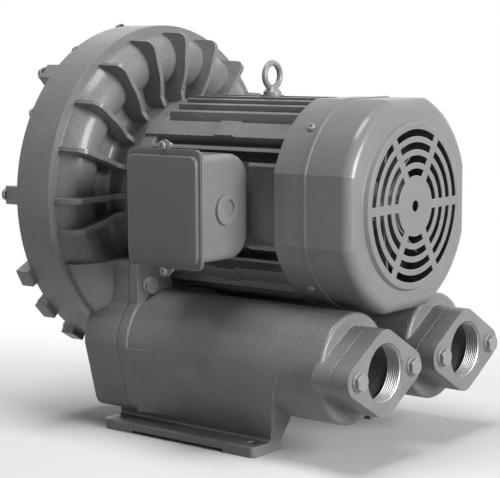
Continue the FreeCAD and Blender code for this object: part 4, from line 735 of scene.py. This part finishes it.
# The boss's enamel is scaled a little lighter than the box's: a painted light.
boss_painted_light_enamel = sheet_enamel("knock_out_enamel_painted_light", knock_out_seat,
                           edge=0.0003, painted_light_scale=1.06, edge_wear_and_highlight_share=0.0, gloss=0.2)
boss_painted_light_enamel.dress(knock_out)
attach(knock_out, "frame")
for name in ("box_gasket", "lid_gasket"):
    seal_rubber(name + "_rubber", middle(name)).dress(cad[name])
filled_plastic("terminal_plastic", middle("terminal_block")).dress(cad["terminal_block"])
turned_steel("box_screw_zinc", middle("box_screws"), zinc_dull).dress(cad["box_screws"])

head_radius = 0.0045
head_high = 0.003
lid_low, lid_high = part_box("lid_screws")
lid_screw_x = (lid_low.x + lid_high.x) / 2
lid_seats = []
for height in (lid_low.z + head_radius, lid_high.z - head_radius):
    lid_seats.append(((lid_screw_x, lid_low.y + head_high, height), (0, -1, 0)))
stand_copies(cowl_screw, "lid_screw", lid_seats, bolt_enamel, "lid_screws")
bpy.data.objects.remove(cowl_screw)


# Eye bolt: a lifting eye forged in steel, screwed into the pad on top of the motor until its
# collar seats, and painted with the motor.
bolt_enamel("eye_enamel", middle("eye_bolt")).dress(cad["eye_bolt"])


# Silencers: two cast tubes lined with open foam, each with its foot. Three bolts hold each one
# to the casing's manifold, on a rubber gasket.
def open_foam(name, centre):
    """Dark open-cell foam: round pores between thin struts, the pores painted near black as the
    shade inside them.
    """
    foam = Finish(name, Specular_IOR_Level=0.2)
    struts_over_shaded_pores = foam.ramp(foam.cells(foam.place(centre), 420.0), (0.1, 0.0), (0.6, 1.0))
    # The pores are painted near black: painted shade in the hollows of the cells.
    foam.feed("Base Color", foam.tint(struts_over_shaded_pores, (0.012, 0.012, 0.013), (0.085, 0.085, 0.09)))
    foam.feed("Roughness", 0.8 + struts_over_shaded_pores * 0.15)
    foam.feed("Normal", foam.relief(struts_over_shaded_pores, 0.0008))
    return foam


for side in ("left", "right"):
    tube = side + "_silencer"
    cast_enamel(tube + "_enamel", middle(tube), skin=0.9, edge=0.0026).dress(cad[tube])
    seal_rubber(tube + "_rubber", middle(tube + "_gasket")).dress(cad[tube + "_gasket"])
    open_foam(side + "_foam", middle(tube + "_liner")).dress(cad[tube + "_liner"])

port_height = 0.097
port_offset = 0.0775
silencer_rear = -0.063
silencer_circle = 0.0685
silencer_seats = []
for hand in (-1, 1):
    for degrees in (110, 25, 290):
        mirrored = degrees if hand < 0 else 180 - degrees
        seat = on_circle(silencer_rear, hand * port_offset, port_height, silencer_circle, mirrored)
        silencer_seats.append((seat, (1, 0, 0)))
silencer_bolt = hexagon_bolt(thread=0.010, length=0.037)
stand_copies(silencer_bolt, "silencer_bolt", silencer_seats, bolt_enamel, "silencer_bolts")
bpy.data.objects.remove(silencer_bolt)


# Port flanges: cast flanges with a 2 inch pipe thread, each on two bolts and a gasket. The thread
# is cut after painting, so its turns are bare bright metal.
def fresh_thread(name, centre):
    """Newly cut aluminium: bright, with chatter marks along the cut."""
    metal = Finish(name, Metallic=1.0)
    chatter = metal.speckle(metal.place(centre), size=0.0016, detail=3.0, rough=0.6)
    streak = metal.speckle(metal.place(centre, (900.0, 40.0, 40.0)), size=1.0)
    metal.feed("Base Color", metal.tint(chatter, (0.30, 0.30, 0.305), (0.54, 0.54, 0.545)))
    metal.feed("Roughness", 0.30 + chatter * 0.16 + streak * 0.06)
    metal.feed("Normal", metal.relief(streak + chatter * 0.4, 0.00008))
    return metal


def thread_sleeve(name, y):
    """Turns of the pipe thread: one tooth's outline, wound along the bore by the screw modifier."""
    pitch = 0.00231
    root = 0.02975
    deep = 0.00115
    start = 0.2150
    turns = 7
    alone()
    bpy.ops.mesh.primitive_circle_add(
        vertices=6, radius=pitch / 2, location=(start, y, port_height + root))
    tooth = bpy.context.object
    tooth.name = name
    place_in_mesh()
    outline = ((0.0, 0.0), (0.12, 0.0), (0.44, -deep), (0.56, -deep), (0.88, 0.0), (1.0, 0.0))
    for point, (along, lift) in zip(tooth.data.vertices, outline):
        point.co = (start + along * pitch, 0.0, root + lift)
    edit()
    bpy.ops.mesh.select_mode(type="EDGE")
    bpy.ops.mesh.select_all(action="DESELECT")
    done()
    closing_step = len(outline) - 1
    for edge in tooth.data.edges:
        edge.select = abs(edge.vertices[0] - edge.vertices[1]) == closing_step
    edit()
    bpy.ops.mesh.delete(type="EDGE")
    done()
    modified(tooth, "SCREW", axis="X", steps=72, render_steps=72, screw_offset=pitch,
             iterations=turns, use_merge_vertices=True, merge_threshold=0.00001)
    tooth.data.transform(Matrix.Translation((0.0, y, port_height)))
    edit()
    bpy.ops.mesh.select_all(action="SELECT")
    bpy.ops.mesh.remove_doubles(threshold=0.00002)
    align_faces(inside=True)
    done()
    smooth_below(24)
    fresh_thread(name + "_metal", (start, y, port_height)).dress(tooth)
    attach(tooth, "frame")


flange_face = 0.2344
port_bolt_offset = 0.048
port_seats = []
for hand, side in ((-1, "left"), (1, "right")):
    flange = side + "_port_flange"
    gasket = side + "_flange_gasket"
    cast_enamel(flange + "_enamel", middle(flange), skin=0.7).dress(cad[flange])
    painted = seal_rubber(side + "_flange_rubber", middle(gasket),
                          dark=(0.10, 0.099, 0.10), dusty=(0.14, 0.139, 0.14))
    painted.dress(cad[gasket])
    thread_sleeve(side + "_thread", hand * port_offset)
    for offset in (-port_bolt_offset, port_bolt_offset):
        port_seats.append(((flange_face, hand * port_offset + offset, port_height), (1, 0, 0)))
port_bolt = hexagon_bolt(thread=0.010, length=0.034)
stand_copies(port_bolt, "port_bolt", port_seats, bolt_enamel, "flange_bolts")
bpy.data.objects.remove(port_bolt)


# Studio: a pale sweep of paper that fades to white behind the blower and far from it, and keeps its
# shadow. A large window light stands beyond the fan cowl, a ceiling light hangs above, and a weak
# light comes back from the wall behind the casing.
def seen_rays(nodes):
    """1 for what the camera sees, straight or in metal or glass, and 0 for other light."""
    camera_ray, glossy_ray, glass_ray = (
        nodes.node("LightPath", {}, {}, f"Is {kind} Ray")
        for kind in ("Camera", "Glossy", "Transmission"))
    return camera_ray + glossy_ray + glass_ray


def fade(nodes, value, start, end):
    """0 up to the start, 1 from the end, and smooth between them."""
    sockets = {"Value": value, "From Min": start, "From Max": end}
    return nodes.node("MapRange", {"interpolation_type": "SMOOTHSTEP"}, sockets)


white = (1.0, 1.0, 1.0, 1.0)
bounce_grey = (0.55, 0.55, 0.55)
away_from_camera = (-0.63, 0.78, 0.0)
paper = Finish("paper", Roughness=0.95, Specular_IOR_Level=0.1)
paper_place = paper.place((0.0, 0.0, 0.0))
paper_grain = paper.speckle(paper_place, size=0.5)
paper_shade = paper.tint(paper_grain, (0.72, 0.72, 0.72), (0.76, 0.76, 0.76))
to_camera = paper.node("LightPath", {}, {}, "Is Camera Ray")
paper.feed("Base Color", paper.tint(to_camera, bounce_grey, paper_shade))
away = paper.node("VectorMath", {"operation": "DOT_PRODUCT"},
                  {0: paper_place, 1: away_from_camera}, "Value")
distance = paper.node("VectorMath", {"operation": "LENGTH"}, {0: paper_place}, "Value")
behind = fade(paper, away, start=-0.04, end=0.62)
far = fade(paper, distance, start=0.75, end=1.7)
beyond = behind.maths("MAXIMUM", behind, far)
glow = paper.node("Emission", {}, {"Color": white, "Strength": 1.0})
matt = Socket(paper.tree, paper.shader.outputs[0])
faded = paper.node("MixShader", {}, {0: beyond * seen_rays(paper), 1: matt, 2: glow})
paper.tree.links.new(faded.output, paper.tree.nodes["Material Output"].inputs["Surface"])
alone()
bpy.ops.mesh.primitive_plane_add(size=40.0, location=(0, 0, 0))
floor = bpy.context.object
floor.name = "floor"
paper.dress(floor)

world = bpy.data.worlds.new("studio")
bpy.context.scene.world = world
world.use_nodes = True
sky = Nodes(world.node_tree)
background = sky.tree.nodes["Background"]
fill = 0.10
strength = fill + seen_rays(sky) * (1.0 - fill)
background.inputs["Color"].default_value = white
sky.tree.links.new(strength.output, background.inputs["Strength"])


def lamp(name, place, aim, size, watts):
    data = bpy.data.lights.new(name, "AREA")
    data.shape = "RECTANGLE"
    data.size, data.size_y = size
    data.energy = watts
    light = bpy.data.objects.new(name, data)
    bpy.context.scene.collection.objects.link(light)
    turn = (Vector(aim) - Vector(place)).to_track_quat("-Z", "Y").to_matrix().to_4x4()
    light.matrix_world = Matrix.Translation(place) @ turn


lamp("window", place=(2.7, -0.05, 0.95), aim=(0, 0, 0.25), size=(1.2, 1.3), watts=98)
lamp("ceiling", place=(0.0, -0.40, 2.4), aim=(0, 0, 0.2), size=(1.3, 0.9), watts=37)
lamp("back_wall", place=(-2.6, 0.9, 0.9), aim=(0, 0, 0.25), size=(1.8, 1.2), watts=13)
